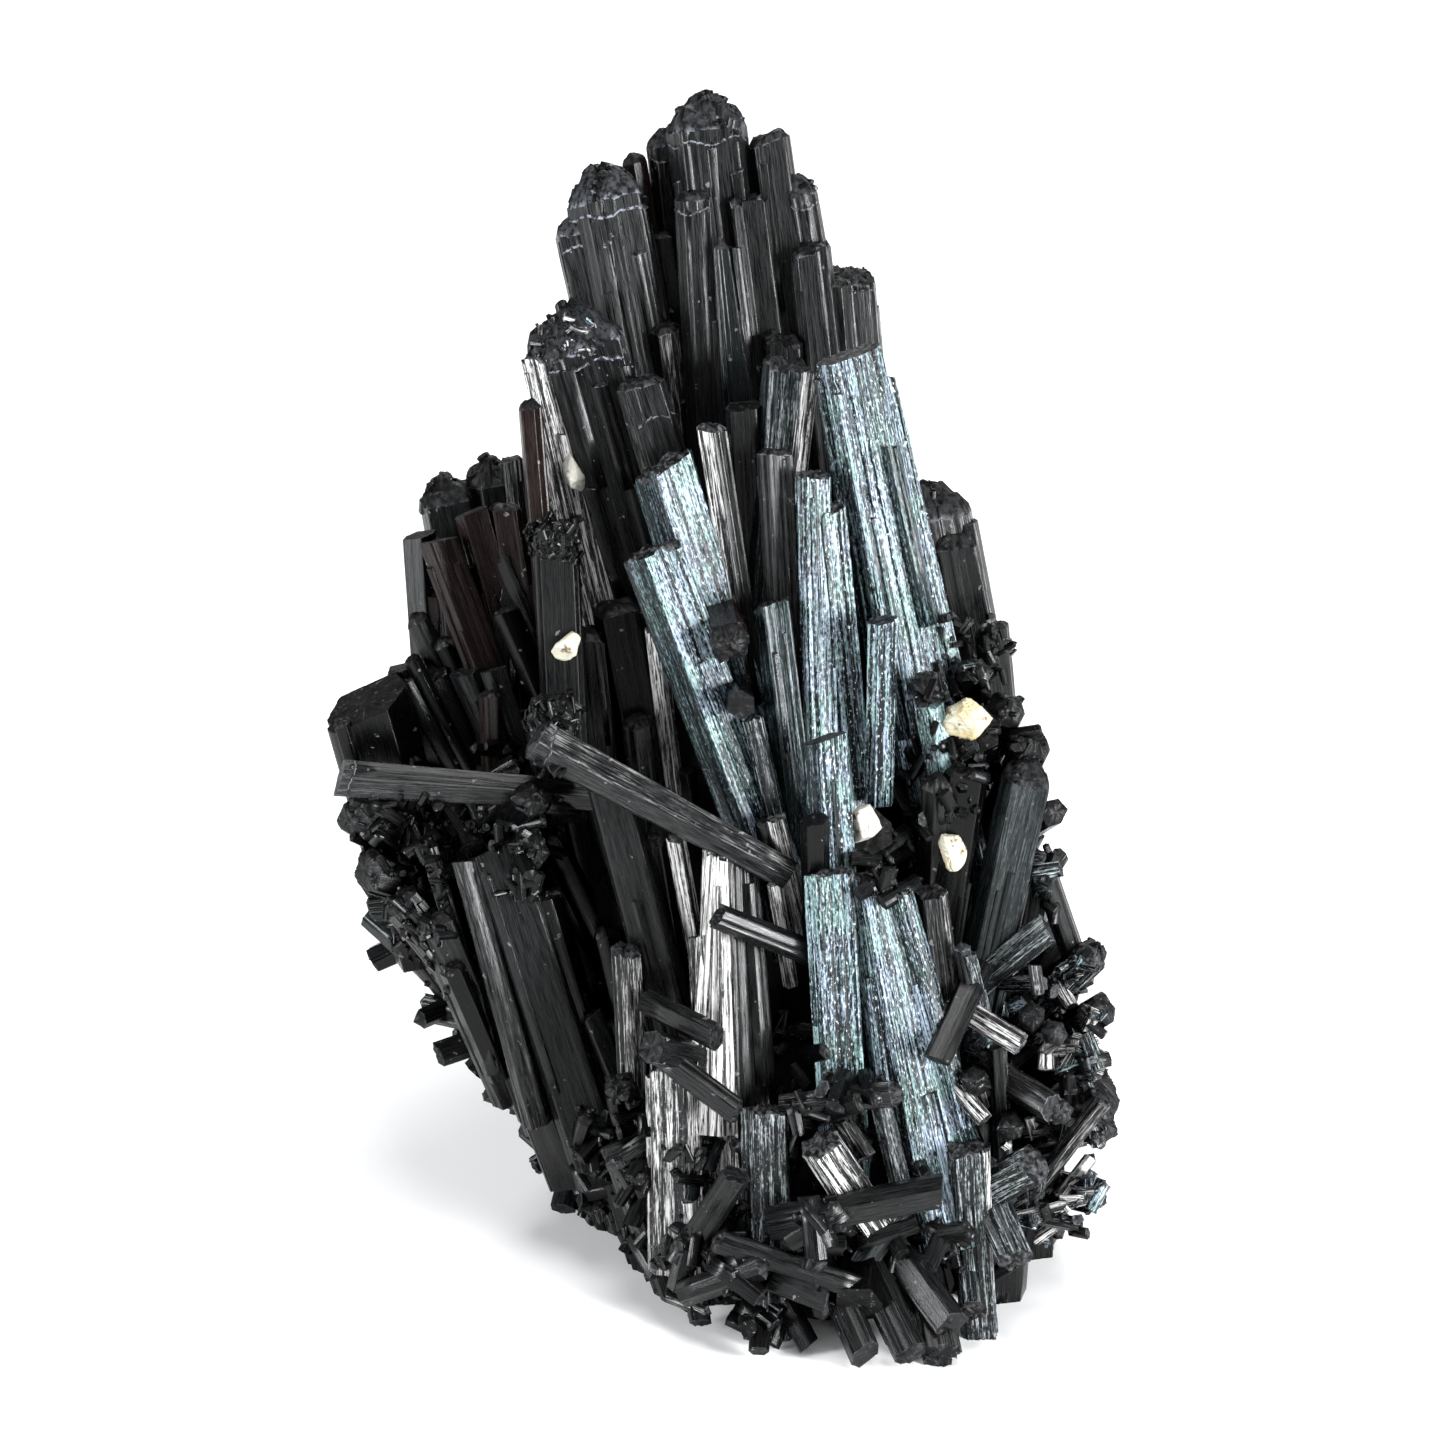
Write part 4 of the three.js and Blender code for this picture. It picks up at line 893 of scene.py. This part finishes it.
def fillers(heap):
    """The CAD's columns behind the ones of the front."""
    random = stream(FILLER_SEED)
    ends = ["blunt", "broken", "dome"]
    right = FILLER_FROM
    while right < FILLER_TO:
        top, bottom = outline_at(right)
        for row in range(2):
            shift = (random() - 0.5) * FILLER_STEP * 0.5
            up = between(top - FILLER_TOP_GAP, bottom + FILLER_BOTTOM_GAP, row) - random() * FILLER_SPREAD
            nearer = FILLER_DEPTHS[row] - random() * 2 - abs(right - FILLER_MIDDLE) * FILLER_FALL
            lean = (FAN_CENTRE - right) / FAN_REACH
            length = min(FILLER_LENGTH, up - bottom + (FILLER_BOTTOM_GAP + FILLER_SPREAD))
            foot, tip = leaning(right + shift, up, nearer, length, lean, FILLER_LEAN_BACK)
            width = between(*FILLER_WIDTH, random())
            end = ends[math.floor(random() * len(ends))]
            turn = random() * SIXTH_TURN
            seed = int(right * 10 + row)
            crystal(heap, foot, tip, width, 0.9, turn, end, 1, look_of("black"), random, seed, fine=0.5)
        right += FILLER_STEP


def slim_front(heap):
    """Slim dark prisms that fill the gaps behind the ones of the front."""
    rng = np.random.default_rng(SLIM_FRONT_SEED)
    for _ in range(SLIM_TRIES):
        right = rng.uniform(*SLIM_ACROSS)
        top, bottom = outline_at(right)
        up = rng.uniform(bottom + SLIM_BOTTOM_GAP, top - SLIM_TOP_GAP)
        if up < bottom + SLIM_LOWEST:
            continue
        nearer = SLIM_DEPTH - rng.uniform(0, SLIM_DEPTH_SPREAD) - abs(right - FILLER_MIDDLE) * FILLER_FALL
        nearer -= SLIM_STEPS_BACK * min(1, max(0, up - SLIM_BACK_FROM) / SLIM_BACK_OVER)
        lean = (FAN_CENTRE - right) / FAN_REACH + rng.normal(0, 0.05)
        foot, tip = leaning(right, up, nearer, rng.uniform(*SLIM_LENGTH), lean, SLIM_LEAN_BACK)
        kind = pick(rng, SLIM_ENDS)
        look = look_of("black" if rng.random() < 0.6 else "dark")
        seed = any_seed(rng)
        width = rng.uniform(*SLIM_WIDTH)
        turn = rng.uniform(0, SIXTH_TURN)
        crystal(heap, foot, tip, width, 0.95, turn, kind, 1, look, random_from(rng), seed, fine=0.45)


def core_point(height, angle, inset=0.0):
    """The core's surface at a height and an angle round it, or a place further in."""
    left, right, front, back = (along_line(CORE_LEVELS, height, column) for column in (1, 2, 3, 4))
    roundness = CORE_ROUNDNESS[0 if math.cos(angle) < 0 else 1]
    across, deep = (math.copysign(abs(s) ** roundness, s) for s in (math.cos(angle), math.sin(angle)))
    x = (left + right) / 2 + ((right - left) / 2 - inset) * across
    y = (front + back) / 2 + ((back - front) / 2 - inset) * deep
    return np.array((x, y, height))


def against_core(low, height, angle, foot_angle, under, out):
    """Foot and tip of a prism against the core, which stays this far under the outline of the back."""
    foot = core_point(low, foot_angle)
    tip = core_point(height, angle)
    tip[2] = min(tip[2], along_line(BACK_SKYLINE, tip[0]) - under)
    return foot, tip + outwards(angle) * out


def mantle(heap):
    """The CAD's prisms of the sides and back."""
    random = stream(MANTLE_SEED)
    ends = ["blunt", "flat", "dome", "broken"]
    for count, low, high, widths in MANTLE_ROWS:
        for i in range(count):
            share = (i + 0.15 + random() * 0.7) / count
            angle = math.radians(between(MANTLE_FROM, MANTLE_TO, share))
            height = high - random() * MANTLE_TIP_SPREAD
            foot_angle = angle + (random() - 0.5) * 0.1
            foot, tip = against_core(low, height, angle, foot_angle, 0, MANTLE_OUT)
            width = between(*widths, random())
            end = ends[math.floor(random() * len(ends))]
            turn = random() * SIXTH_TURN
            look = look_of(MANTLE_LOOKS[i % len(MANTLE_LOOKS)])
            seed = 700 + int(low * 20) + i
            crystal(heap, foot, tip, width, 0.95, turn, end, 1, look, random, seed, fine=0.5)


def slim_mantle(heap):
    """Slim prisms between the large ones of the sides and back."""
    rng = np.random.default_rng(SLIM_MANTLE_SEED)
    for low, high, count in SLIM_MANTLE_ROWS:
        for i in range(count):
            share = (i + rng.uniform(0, 1)) / count
            angle = math.radians(between(MANTLE_FROM - 6, MANTLE_TO + 8, share))
            height = high - rng.uniform(-1, 12)
            foot_angle = angle + rng.normal(0, 0.06)
            under, out = rng.uniform(0, 2), rng.uniform(*SLIM_MANTLE_OUT)
            foot, tip = against_core(low, height, angle, foot_angle, under, out)
            width = rng.uniform(*SLIM_MANTLE_WIDTH)
            kind = pick(rng, SLIM_ENDS)
            look = look_of(pick(rng, SLIM_MANTLE_LOOKS))
            seed = any_seed(rng)
            turn = rng.uniform(0, SIXTH_TURN)
            crystal(heap, foot, tip, width, 0.95, turn, kind, 1, look, random_from(rng), seed, fine=0.4)


def core(heap):
    """The mass behind and between all prisms, which shows in the gaps."""
    heights = np.linspace(*CORE_HEIGHTS, CORE_RINGS)
    angles = np.linspace(0, 2 * math.pi, CORE_POINTS, endpoint=False)
    points = np.array([[core_point(height, angle, CORE_INSET) for angle in angles] for height in heights])
    rng = np.random.default_rng(CORE_HILLS_SEED)
    (size, hill), (small_size, small_hill) = CORE_HILLS
    bump = lumps(angles[None, :] * CORE_RADIUS, heights[:, None], size, rng) * hill
    grit = np.random.default_rng(CORE_GRIT_SEED).normal(0, CORE_GRIT, bump.shape)
    bump += lumps(angles[None, :] * CORE_RADIUS, heights[:, None], small_size, rng) * small_hill + grit
    out = np.stack([np.cos(angles), np.sin(angles), np.zeros(CORE_POINTS)], axis=1)
    points[1:] += out[None] * bump[1:, :, None]
    grain = np.zeros((CORE_RINGS, CORE_POINTS + 1, 3))
    grain[..., 0] = np.linspace(0, CORE_ROUND, CORE_POINTS + 1)[None]
    grain[..., 1] = heights[:, None]
    index = heap.grid(points, grain, HOLLOW, np.ones((CORE_RINGS, CORE_POINTS + 1)))
    for ring, flip in ((0, True), (-1, False)):
        heap.fan(index[ring], points[ring].mean(axis=0), grain[ring, :-1], grain[ring, 0], HOLLOW, 1.0, flip)


def within_box(place, reach):
    """Whether an end that reaches this far around a place stays in the solids' box, or hardly leaves it."""
    low, high = CAD_BOX[:, :2] * METRE
    spare = reach - STUB_OVERHANG
    return np.all(place[:2] > low + spare) and np.all(place[:2] < high - spare)


def stub(heap, place, normal, way, width, reach, look, rng):
    """A short crystal of a crust, which stands out of what it grows on or lies against it."""
    if rng.random() < LYING:
        way = unit(way - 0.85 * (way @ normal) * normal)
        length = width * rng.uniform(1.3, 3.4)
        tip = place + way * length / 2 + normal * width * rng.uniform(0.1, 0.45)
        foot = place - way * length / 2 - normal * width * rng.uniform(0.0, 0.4)
    else:
        tip = place + way * reach
        foot = place - way * width * 0.9
    if tip[2] < LOWEST_TIP or not (within_box(tip, width / 2) and within_box(foot, width / 2)):
        return
    kind = pick(rng, CRUST_ENDS)
    seed = any_seed(rng)
    thickness, turn, taper = rng.uniform(0.55, 1), rng.uniform(0, SIXTH_TURN), rng.uniform(0.75, 1)
    crystal(
        heap, foot, tip, width, thickness, turn, kind, taper, look, random_from(rng), seed,
        ribs=False, fine=0.42,
    )


def over_bare(across, up):
    """Whether a place in the front view is on one of the bare prisms."""
    place = np.array((across, up))
    for _, tip, foot, width, *_, look in FRONT_CRYSTALS + SMALL_CRYSTALS:
        if look.endswith("bare"):
            a, b = np.array(tip[:2]), np.array(foot[:2])
            share = min(1, max(0, (place - a) @ (b - a) / ((b - a) @ (b - a))))
            if np.linalg.norm(a + (b - a) * share - place) < 0.5 * width:
                return True
    return False


def crusts_of_front(heap, tree):
    """Short crystals on whatever the front view shows at each place."""
    rng = np.random.default_rng(CRUST_SEED)
    eye = VIEW_CENTRE + TO_EYE * VIEW_DISTANCE
    grains = [from_view(place) for _, place, *_ in GRAINS]
    for left, right, low, high, count, widths, reaches, lean, mix in CRUSTS:
        lean = RIGHT * lean[0] + UP * lean[1] + TO_EYE * lean[2]
        for _ in range(count):
            across, up = rng.uniform(left, right), rng.uniform(low, high)
            target = from_view((across, up, 0))
            hit, normal, _, _ = tree.ray_cast(Vector(eye), Vector(unit(target - eye)))
            if hit is None or hit.z < CRUST_LOWEST or over_bare(across, up):
                continue
            hit, normal = np.array(hit), np.array(normal)
            if min(np.linalg.norm(hit - grain) for grain in grains) < GRAIN_CLEAR:
                continue
            way = unit(0.2 * normal + lean + 0.95 * unit(rng.normal(0, 1, 3)))
            if way @ normal < -0.15:
                continue
            width = between(*widths, rng.random() ** 1.5)
            look = look_of(pick(rng, CRUST_MIXES[mix]))
            stub(heap, hit, normal, way, width, width * rng.uniform(*reaches), look, rng)


def crust_of_back(heap, tree):
    """Short crystals round the foot of the sides and back."""
    rng = np.random.default_rng(BACK_CRUST_SEED)
    for _ in range(BACK_CRUST_TRIES):
        angle = math.radians(rng.uniform(*BACK_CRUST_ANGLES))
        height = BACK_CRUST_LOW + BACK_CRUST_HEIGHT * rng.random() ** 1.8
        middle = core_point(height, 0) / 2 + core_point(height, math.pi) / 2
        out = unit(core_point(height, angle) - middle)
        hit, normal, _, _ = tree.ray_cast(Vector(middle + out * OUTSIDE), Vector(-out))
        if hit is None or hit.z < CRUST_LOWEST:
            continue
        hit, normal = np.array(hit), np.array(normal)
        way = unit(0.4 * normal + 0.7 * out + 0.6 * unit(rng.normal(0, 1, 3)))
        width = rng.uniform(*BACK_CRUST_WIDTH)
        look = look_of(pick(rng, CRUST_MIXES["dark"] + CRUST_MIXES["grey"]))
        stub(heap, hit, normal, way, width, width * rng.uniform(*BACK_CRUST_REACH), look, rng)


def search_tree(heaps):
    """Finds what a ray meets first among all faces made so far."""
    places, polygons, total = [], [], 0
    for heap in heaps:
        points, loops, starts, counts = heap.faces()
        places.append(points)
        polygons += [(loops[start : start + count] + total).tolist() for start, count in zip(starts, counts)]
        total += len(points)
    return BVHTree.FromPolygons(np.concatenate(places).tolist(), polygons)


def grain_mesh(name, halves, turn, pale, seed):
    """A cleaved grain: an uneven lump cut by planes, some of them in steps."""
    rng = np.random.default_rng(seed)
    ways = rng.normal(0, 1, (CLEAVED, 3))
    ways /= np.linalg.norm(ways, axis=1)[:, None]
    planes = rng.uniform(*CLEAVED_AT, CLEAVED)
    lat = np.linspace(0, math.pi, GRAIN_ROWS)[:, None]
    lon = np.linspace(0, 2 * math.pi, GRAIN_COLUMNS, endpoint=False)[None]
    ball = np.broadcast_arrays(np.sin(lat) * np.cos(lon), np.sin(lat) * np.sin(lon), np.cos(lat))
    ball = np.stack(ball, axis=-1)
    side = np.cross(ways, np.roll(ways, 1, axis=1))
    steps = np.floor(ball @ side.T * rng.uniform(1.5, 4.5, CLEAVED)) * rng.choice(CLEAVED_STEPS, CLEAVED)
    facing = ball @ ways.T
    reach = np.where(facing > 0.05, (planes - np.abs(steps)) / np.maximum(facing, 0.05), 9)
    reach = np.minimum(np.min(reach, axis=-1), GRAIN_REACH)
    reach *= 1 - 0.05 * np.abs(lumps(ball[..., 0] * 3, ball[..., 1] * 3 + ball[..., 2] * 2, 0.6, rng))
    points = ball * reach[..., None] * np.array(halves)
    heap = Heap()
    flat = np.zeros((GRAIN_ROWS - 2, GRAIN_COLUMNS + 1))
    grain = np.zeros(flat.shape + (3,))
    look = (pale, 0, 0)
    index = heap.grid(points[1:-1][::-1], grain, look, flat)
    for ring, pole, flip in ((0, points[-1, 0], True), (-1, points[0, 0], False)):
        heap.fan(index[ring], pole, grain[0, :-1], grain[0, 0], look, 0, flip)
    made = heap.mesh(name)
    turned = Matrix.Rotation(math.radians(turn * 2), 4, "X") @ Matrix.Rotation(math.radians(turn), 4, "Z")
    made.transform(turned)
    return made


def piece(name, mesh, material):
    made = bpy.data.objects.new(name, mesh)
    bpy.context.scene.collection.objects.link(made)
    mesh.materials.append(material)
    return made


class Graph:
    """Short names for the nodes of one material."""

    def __init__(self, name):
        self.material = bpy.data.materials.new(name)
        self.material.use_nodes = True
        self.tree = self.material.node_tree
        self.shader = self.tree.nodes["Principled BSDF"]

    def put(self, socket, value):
        if isinstance(value, bpy.types.NodeSocket):
            self.tree.links.new(value, socket)
        else:
            socket.default_value = value

    def node(self, kind, inputs=(), **settings):
        made = self.tree.nodes.new(kind)
        for key, value in settings.items():
            setattr(made, key, value)
        for key, value in dict(inputs).items():
            self.put(made.inputs[key], value)
        return made

    def math(self, operation, *values, clamp=False):
        made = self.node("ShaderNodeMath", enumerate(values), operation=operation, use_clamp=clamp)
        return made.outputs[0]

    def times(self, a, b, clamp=False):
        return self.math("MULTIPLY", a, b, clamp=clamp)

    def noise(self, vector, scale, detail=3.0, rough=0.55):
        inputs = {"Vector": vector, "Scale": scale, "Detail": detail, "Roughness": rough}
        return self.node("ShaderNodeTexNoise", inputs).outputs["Fac"]

    def stretch(self, vector, scale):
        return self.node("ShaderNodeVectorMath", {0: vector, 1: scale}, operation="MULTIPLY").outputs[0]

    def ramp(self, value, low, high, to_low=0.0, to_high=1.0):
        inputs = {"Value": value, "From Min": low, "From Max": high, "To Min": to_low, "To Max": to_high}
        return self.node("ShaderNodeMapRange", inputs, interpolation_type="SMOOTHSTEP").outputs[0]

    def mix(self, share, a, b):
        """A mix of two colours."""
        return self.node("ShaderNodeMix", {0: share, 6: a, 7: b}, data_type="RGBA").outputs[2]

    def mix_values(self, share, a, b):
        return self.node("ShaderNodeMix", {0: share, 2: a, 3: b}, data_type="FLOAT").outputs[0]

    def attribute(self, name, output):
        return self.node("ShaderNodeAttribute", attribute_name=name).outputs[output]

    def look(self):
        """Brightness, tint and soot of the crystal."""
        return self.node("ShaderNodeSeparateXYZ", {0: self.attribute("look", "Vector")}).outputs

    def place(self):
        return self.node("ShaderNodeTexCoord").outputs["Object"]

    def finish(self, colour, roughness):
        self.put(self.shader.inputs["Base Color"], colour)
        self.put(self.shader.inputs["Roughness"], roughness)

    def bump(self, strength, distance, height):
        made = self.node("ShaderNodeBump", {"Strength": strength, "Distance": distance, "Height": height})
        self.put(self.shader.inputs["Normal"], made.outputs[0])


PITCH = (0.0004, 0.0004, 0.0005, 1)
BLUE_BLACK = (0.002, 0.0022, 0.0027, 1)
RED_BLACK = (0.005, 0.0014, 0.0010, 1)
END_BLACK = (0.001, 0.001, 0.0012, 1)
UNDER_SILVER = (0.010, 0.010, 0.011, 1)
UNDER_TEAL = (0.0025, 0.004, 0.005, 1)
# The colours of the painted sheen lines on bright striated faces
SILVER_SHEEN_LINE = (0.50, 0.49, 0.48, 1)
TEAL_SHEEN_LINE = (0.20, 0.31, 0.30, 1)
BLUE_SHEEN_LINE = (0.27, 0.33, 0.41, 1)
SHEEN, TEAL_SHEEN = (0.98, 1.0, 1.0, 1), (0.55, 0.95, 1.0, 1)
GLINT = (0.62, 0.68, 0.68, 1)
# White flecks of painted sparkle
SPARKLE_FLECK = (0.9, 0.9, 0.9, 1)
CRUMB, BRIGHT_CRUMB = (0.018, 0.018, 0.019, 1), (0.075, 0.077, 0.082, 1)
FROST = (0.17, 0.18, 0.21, 1)
# Painted glints on sooty ends
SOOT_GLINT = (0.16, 0.16, 0.16, 1)


def striated_side(g, bright, teal, red, wide, fine, broken, place, blotch):
    """The colour of a prism's sides: black, with silvery or teal lines along it where it's bright.

    The lines are painted sheen, the lamps' reflections in the striations, and there are also painted glints,
    a faint grey painted sheen on dark faces and tiny white flecks of painted sparkle.
    """
    # Painted sheen: silvery and teal lines along the striations, the lamps' reflections in them painted into
    # the colour
    granular = g.math("MULTIPLY_ADD", teal, 0.24, 0.12)
    streak = g.math("MULTIPLY_ADD", fine, g.math("SUBTRACT", 0.76, granular), g.times(wide, 0.24))
    streak = g.math("MULTIPLY_ADD", broken, granular, streak)
    edge = g.math("MULTIPLY_ADD", bright, -0.10, 0.60)
    sheen_lines = g.ramp(streak, g.math("SUBTRACT", edge, 0.05), g.math("ADD", edge, 0.07))
    sheen_lines = g.times(g.times(sheen_lines, bright, clamp=True), g.ramp(wide, 0.38, 0.52, 0.04, 1.0))

    black = g.mix(red, PITCH, RED_BLACK)
    black = g.mix(g.times(blotch, 0.25), black, BLUE_BLACK)
    # A faint grey painted sheen on the dark faces, stronger along the streaks
    dull = g.times(bright, g.ramp(bright, 0.4, 0.8, 0.028, 0.004), clamp=True)
    dull = g.times(dull, g.ramp(streak, 0.38, 0.60, 0.15, 1.9))
    black = g.mix(dull, black, g.mix(teal, SHEEN, TEAL_SHEEN))
    under = g.mix(g.ramp(bright, 0.3, 1.1), black, g.mix(teal, UNDER_SILVER, UNDER_TEAL))
    blue = g.mix(g.ramp(blotch, 0.35, 0.65), TEAL_SHEEN_LINE, BLUE_SHEEN_LINE)
    side = g.mix(g.times(sheen_lines, g.ramp(bright, 0.28, 0.62)), under, g.mix(teal, SILVER_SHEEN_LINE, blue))

    glint = g.times(g.ramp(broken, 0.60, 0.68), g.ramp(bright, 0.5, 1.0))
    glint = g.times(glint, g.math("MULTIPLY_ADD", teal, 0.7, 0.3))
    side = g.mix(glint, side, GLINT)
    # Tiny white flecks of painted sparkle all over the sides
    return g.mix(g.ramp(g.noise(place, 1500.0, 2.0, 0.6), 0.70, 0.74, 0.0, 0.10), side, SPARKLE_FLECK)


def worn_end(g, bright, soot, frost, grit):
    """The colour of a prism's rough end: black with grey crumbs, and with frost or soot on it, the soot with
    painted glints.
    """
    crumbs = g.times(g.ramp(grit, 0.42, 0.68), g.ramp(bright, 0.0, 0.3, 0.2, 1.0))
    worn = g.mix(crumbs, END_BLACK, g.mix(g.ramp(bright, 0.45, 0.8), CRUMB, BRIGHT_CRUMB))
    worn = g.mix(g.times(g.ramp(grit, 0.40, 0.55), g.times(frost, 0.85)), worn, FROST)
    return g.mix(soot, worn, g.mix(g.ramp(grit, 0.62, 0.68), END_BLACK, SOOT_GLINT))


def schorl_material():
    g = Graph("schorl_striated")
    grain = g.attribute("grain", "Vector")
    bright, tint, soot = g.look()
    end = g.attribute("end", "Fac")
    place = g.place()
    cap = g.ramp(end, 0.3, 0.9)
    frost = g.ramp(end, 1.0, 2.0)
    teal = g.ramp(tint, 0.0, -1.0)
    red = g.ramp(tint, 0.0, 1.0)
    hollow = g.ramp(bright, -0.2, -0.8)
    wide = g.noise(g.stretch(grain, (3.4, 0.06, 1.0)), 1.0, 2.0)
    fine = g.noise(g.stretch(grain, (10.0, 0.5, 1.0)), 1.0, 3.0, 0.65)
    broken = g.noise(g.stretch(grain, (7.0, 2.6, 1.0)), 1.0, 3.0, 0.65)
    grit = g.noise(place, 2600.0, 3.0, 0.65)
    blotch = g.noise(place, 420.0, 3.0)

    side = striated_side(g, bright, teal, red, wide, fine, broken, place, blotch)
    surface = g.mix(cap, side, worn_end(g, bright, soot, frost, grit))
    rough_side = g.math("ADD", g.ramp(fine, 0.3, 0.7, 0.14, 0.3), g.ramp(bright, 0.2, 0.7, 0.05, 0.0))
    rough = g.mix_values(cap, rough_side, g.ramp(grit, 0.3, 0.7, 0.4, 0.65))
    g.finish(g.mix(hollow, surface, PITCH), g.math("MAXIMUM", rough, hollow))
    g.shader.inputs["IOR"].default_value = 1.64
    g.shader.inputs["Specular IOR Level"].default_value = 0.12

    height = g.math("ADD", g.times(fine, 0.6), g.times(wide, 0.5))
    height = g.math("ADD", g.times(height, g.math("SUBTRACT", 1.0, cap)), g.times(grit, cap))
    g.bump(g.ramp(bright, 0.3, 0.9, 0.18, 0.5), 0.0002, height)
    return g.material


CREAM, DEEP_CREAM = (0.42, 0.39, 0.28, 1), (0.38, 0.30, 0.14, 1)
GREY_WHITE = (0.40, 0.39, 0.36, 1)
VEIN_WHITE = (0.48, 0.47, 0.42, 1)
STAIN_BROWN = (0.09, 0.055, 0.022, 1)


def feldspar_material():
    g = Graph("feldspar_cream")
    place = g.place()
    cloud = g.noise(place, 520.0, 4.0)
    vein = g.noise(g.stretch(place, (600.0, 600.0, 2400.0)), 1.0, 3.0)
    stain = g.noise(place, 900.0, 5.0, 0.6)
    pale = g.look()[0]
    colour = g.mix(g.ramp(cloud, 0.35, 0.65), CREAM, DEEP_CREAM)
    colour = g.mix(pale, colour, GREY_WHITE)
    colour = g.mix(g.ramp(vein, 0.52, 0.7), colour, VEIN_WHITE)
    colour = g.mix(g.ramp(stain, 0.56, 0.66), colour, STAIN_BROWN)
    g.finish(colour, g.ramp(vein, 0.3, 0.7, 0.25, 0.55))
    g.shader.inputs["Subsurface Weight"].default_value = 0.15
    g.shader.inputs["Subsurface Radius"].default_value = (0.0006, 0.0004, 0.0003)
    g.bump(0.7, 0.0003, vein)
    return g.material


FLOOR_PALE, FLOOR_PALER = (0.93, 0.925, 0.92, 1), (0.95, 0.947, 0.943, 1)


def floor_material():
    g = Graph("floor_pale")
    shade = g.noise(g.place(), 6.0, 2.0)
    g.finish(g.mix(shade, FLOOR_PALE, FLOOR_PALER), 0.75)
    return g.material


# Soft lamps: azimuth to the right of the front, elevation, distance, width and height, power, colour, and the
# place they aim at, in metres
MIDDLE = (0, 0, 0.035)
LAMPS = {
    "key right": (54, 9, 0.5, (0.12, 0.22), 8.0, (0.97, 0.99, 1.0), MIDDLE),
    "key left": (-62, 11, 0.5, (0.10, 0.2), 4.2, (0.95, 0.98, 1.0), MIDDLE),
    "top": (20, 80, 1.5, (0.6, 0.6), 15.0, (1, 1, 1), MIDDLE),
    "back": (170, 50, 0.9, (0.5, 0.3), 6.0, (1, 1, 1), (0, 0.35, 0)),
}
WORLD_COLOUR, WORLD_STRENGTH = (0.93, 0.95, 1.0, 1), 0.2
FLOOR_HALF = 3.0
SENSOR = 36


def lamp(name, azimuth, elevation, distance, size, power, colour, aim):
    a, e = math.radians(azimuth), math.radians(elevation)
    way = Vector((math.sin(a) * math.cos(e), -math.cos(a) * math.cos(e), math.sin(e)))
    data = bpy.data.lights.new(name, "AREA")
    data.shape = "RECTANGLE"
    data.size, data.size_y = size
    data.energy = power
    data.color = colour
    made = bpy.data.objects.new(name, data)
    made.location = Vector(aim) + way * distance
    made.rotation_euler = way.to_track_quat("Z", "Y").to_euler()
    bpy.context.scene.collection.objects.link(made)


def camera():
    data = bpy.data.cameras.new("camera")
    data.sensor_fit = "HORIZONTAL"
    data.sensor_width = SENSOR
    data.lens = SENSOR * VIEW_DISTANCE / VIEW_WIDTH
    data.clip_start = 0.01
    made = bpy.data.objects.new("camera", data)
    made.location = Vector((VIEW_CENTRE + TO_EYE * VIEW_DISTANCE) * MM)
    made.rotation_euler = Matrix((RIGHT, UP, TO_EYE)).transposed().to_euler()
    bpy.context.scene.collection.objects.link(made)
    bpy.context.scene.camera = made


def stage():
    floor = bpy.data.meshes.new("floor")
    corners = [(x * FLOOR_HALF, y * FLOOR_HALF, 0) for x, y in ((-1, -1), (1, -1), (1, 1), (-1, 1))]
    floor.from_pydata(corners, [], [(0, 1, 2, 3)])
    piece("floor", floor, floor_material())
    world = bpy.data.worlds.new("studio")
    world.use_nodes = True
    background = world.node_tree.nodes["Background"]
    background.inputs["Color"].default_value = WORLD_COLOUR
    background.inputs["Strength"].default_value = WORLD_STRENGTH
    bpy.context.scene.world = world
    bpy.context.scene.view_settings.view_transform = "Standard"
    for name, settings in LAMPS.items():
        lamp(name, *settings)


camera()
schorl = schorl_material()
heaps = {}
for name, make in (
    ("upper_prisms", lambda heap: front_prisms(heap, last=MIDDLE_FROM)),
    ("middle_prisms", lambda heap: front_prisms(heap, MIDDLE_FROM, LOWER_FROM)),
    ("lower_prisms", lambda heap: front_prisms(heap, LOWER_FROM)),
    ("small_prisms", small_prisms),
    ("inner_prisms", lambda heap: (fillers(heap), slim_front(heap))),
    ("back_prisms", mantle),
    ("back_slim_prisms", slim_mantle),
    ("core_mass", core),
):
    heaps[name] = Heap()
    make(heaps[name])
tree = search_tree(list(heaps.values()))
for name, make in (("front_crusts", crusts_of_front), ("back_crusts", crust_of_back)):
    heaps[name] = Heap()
    make(heaps[name], tree)

for name, heap in heaps.items():
    made = piece(name, heap.mesh(name), schorl)
    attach(made, "root")
    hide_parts("schorl_cluster")

feldspar = feldspar_material()
for number, (node, place, halves, turn, pale) in enumerate(GRAINS):
    mesh = grain_mesh(node + "_cleaved", halves, turn, pale, GRAIN_SEED + number)
    mesh.transform(Matrix.Translation(from_view(place) * MM))
    made = piece(node + "_cleaved", mesh, feldspar)
    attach(made, "root")
    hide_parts(node)

stage()
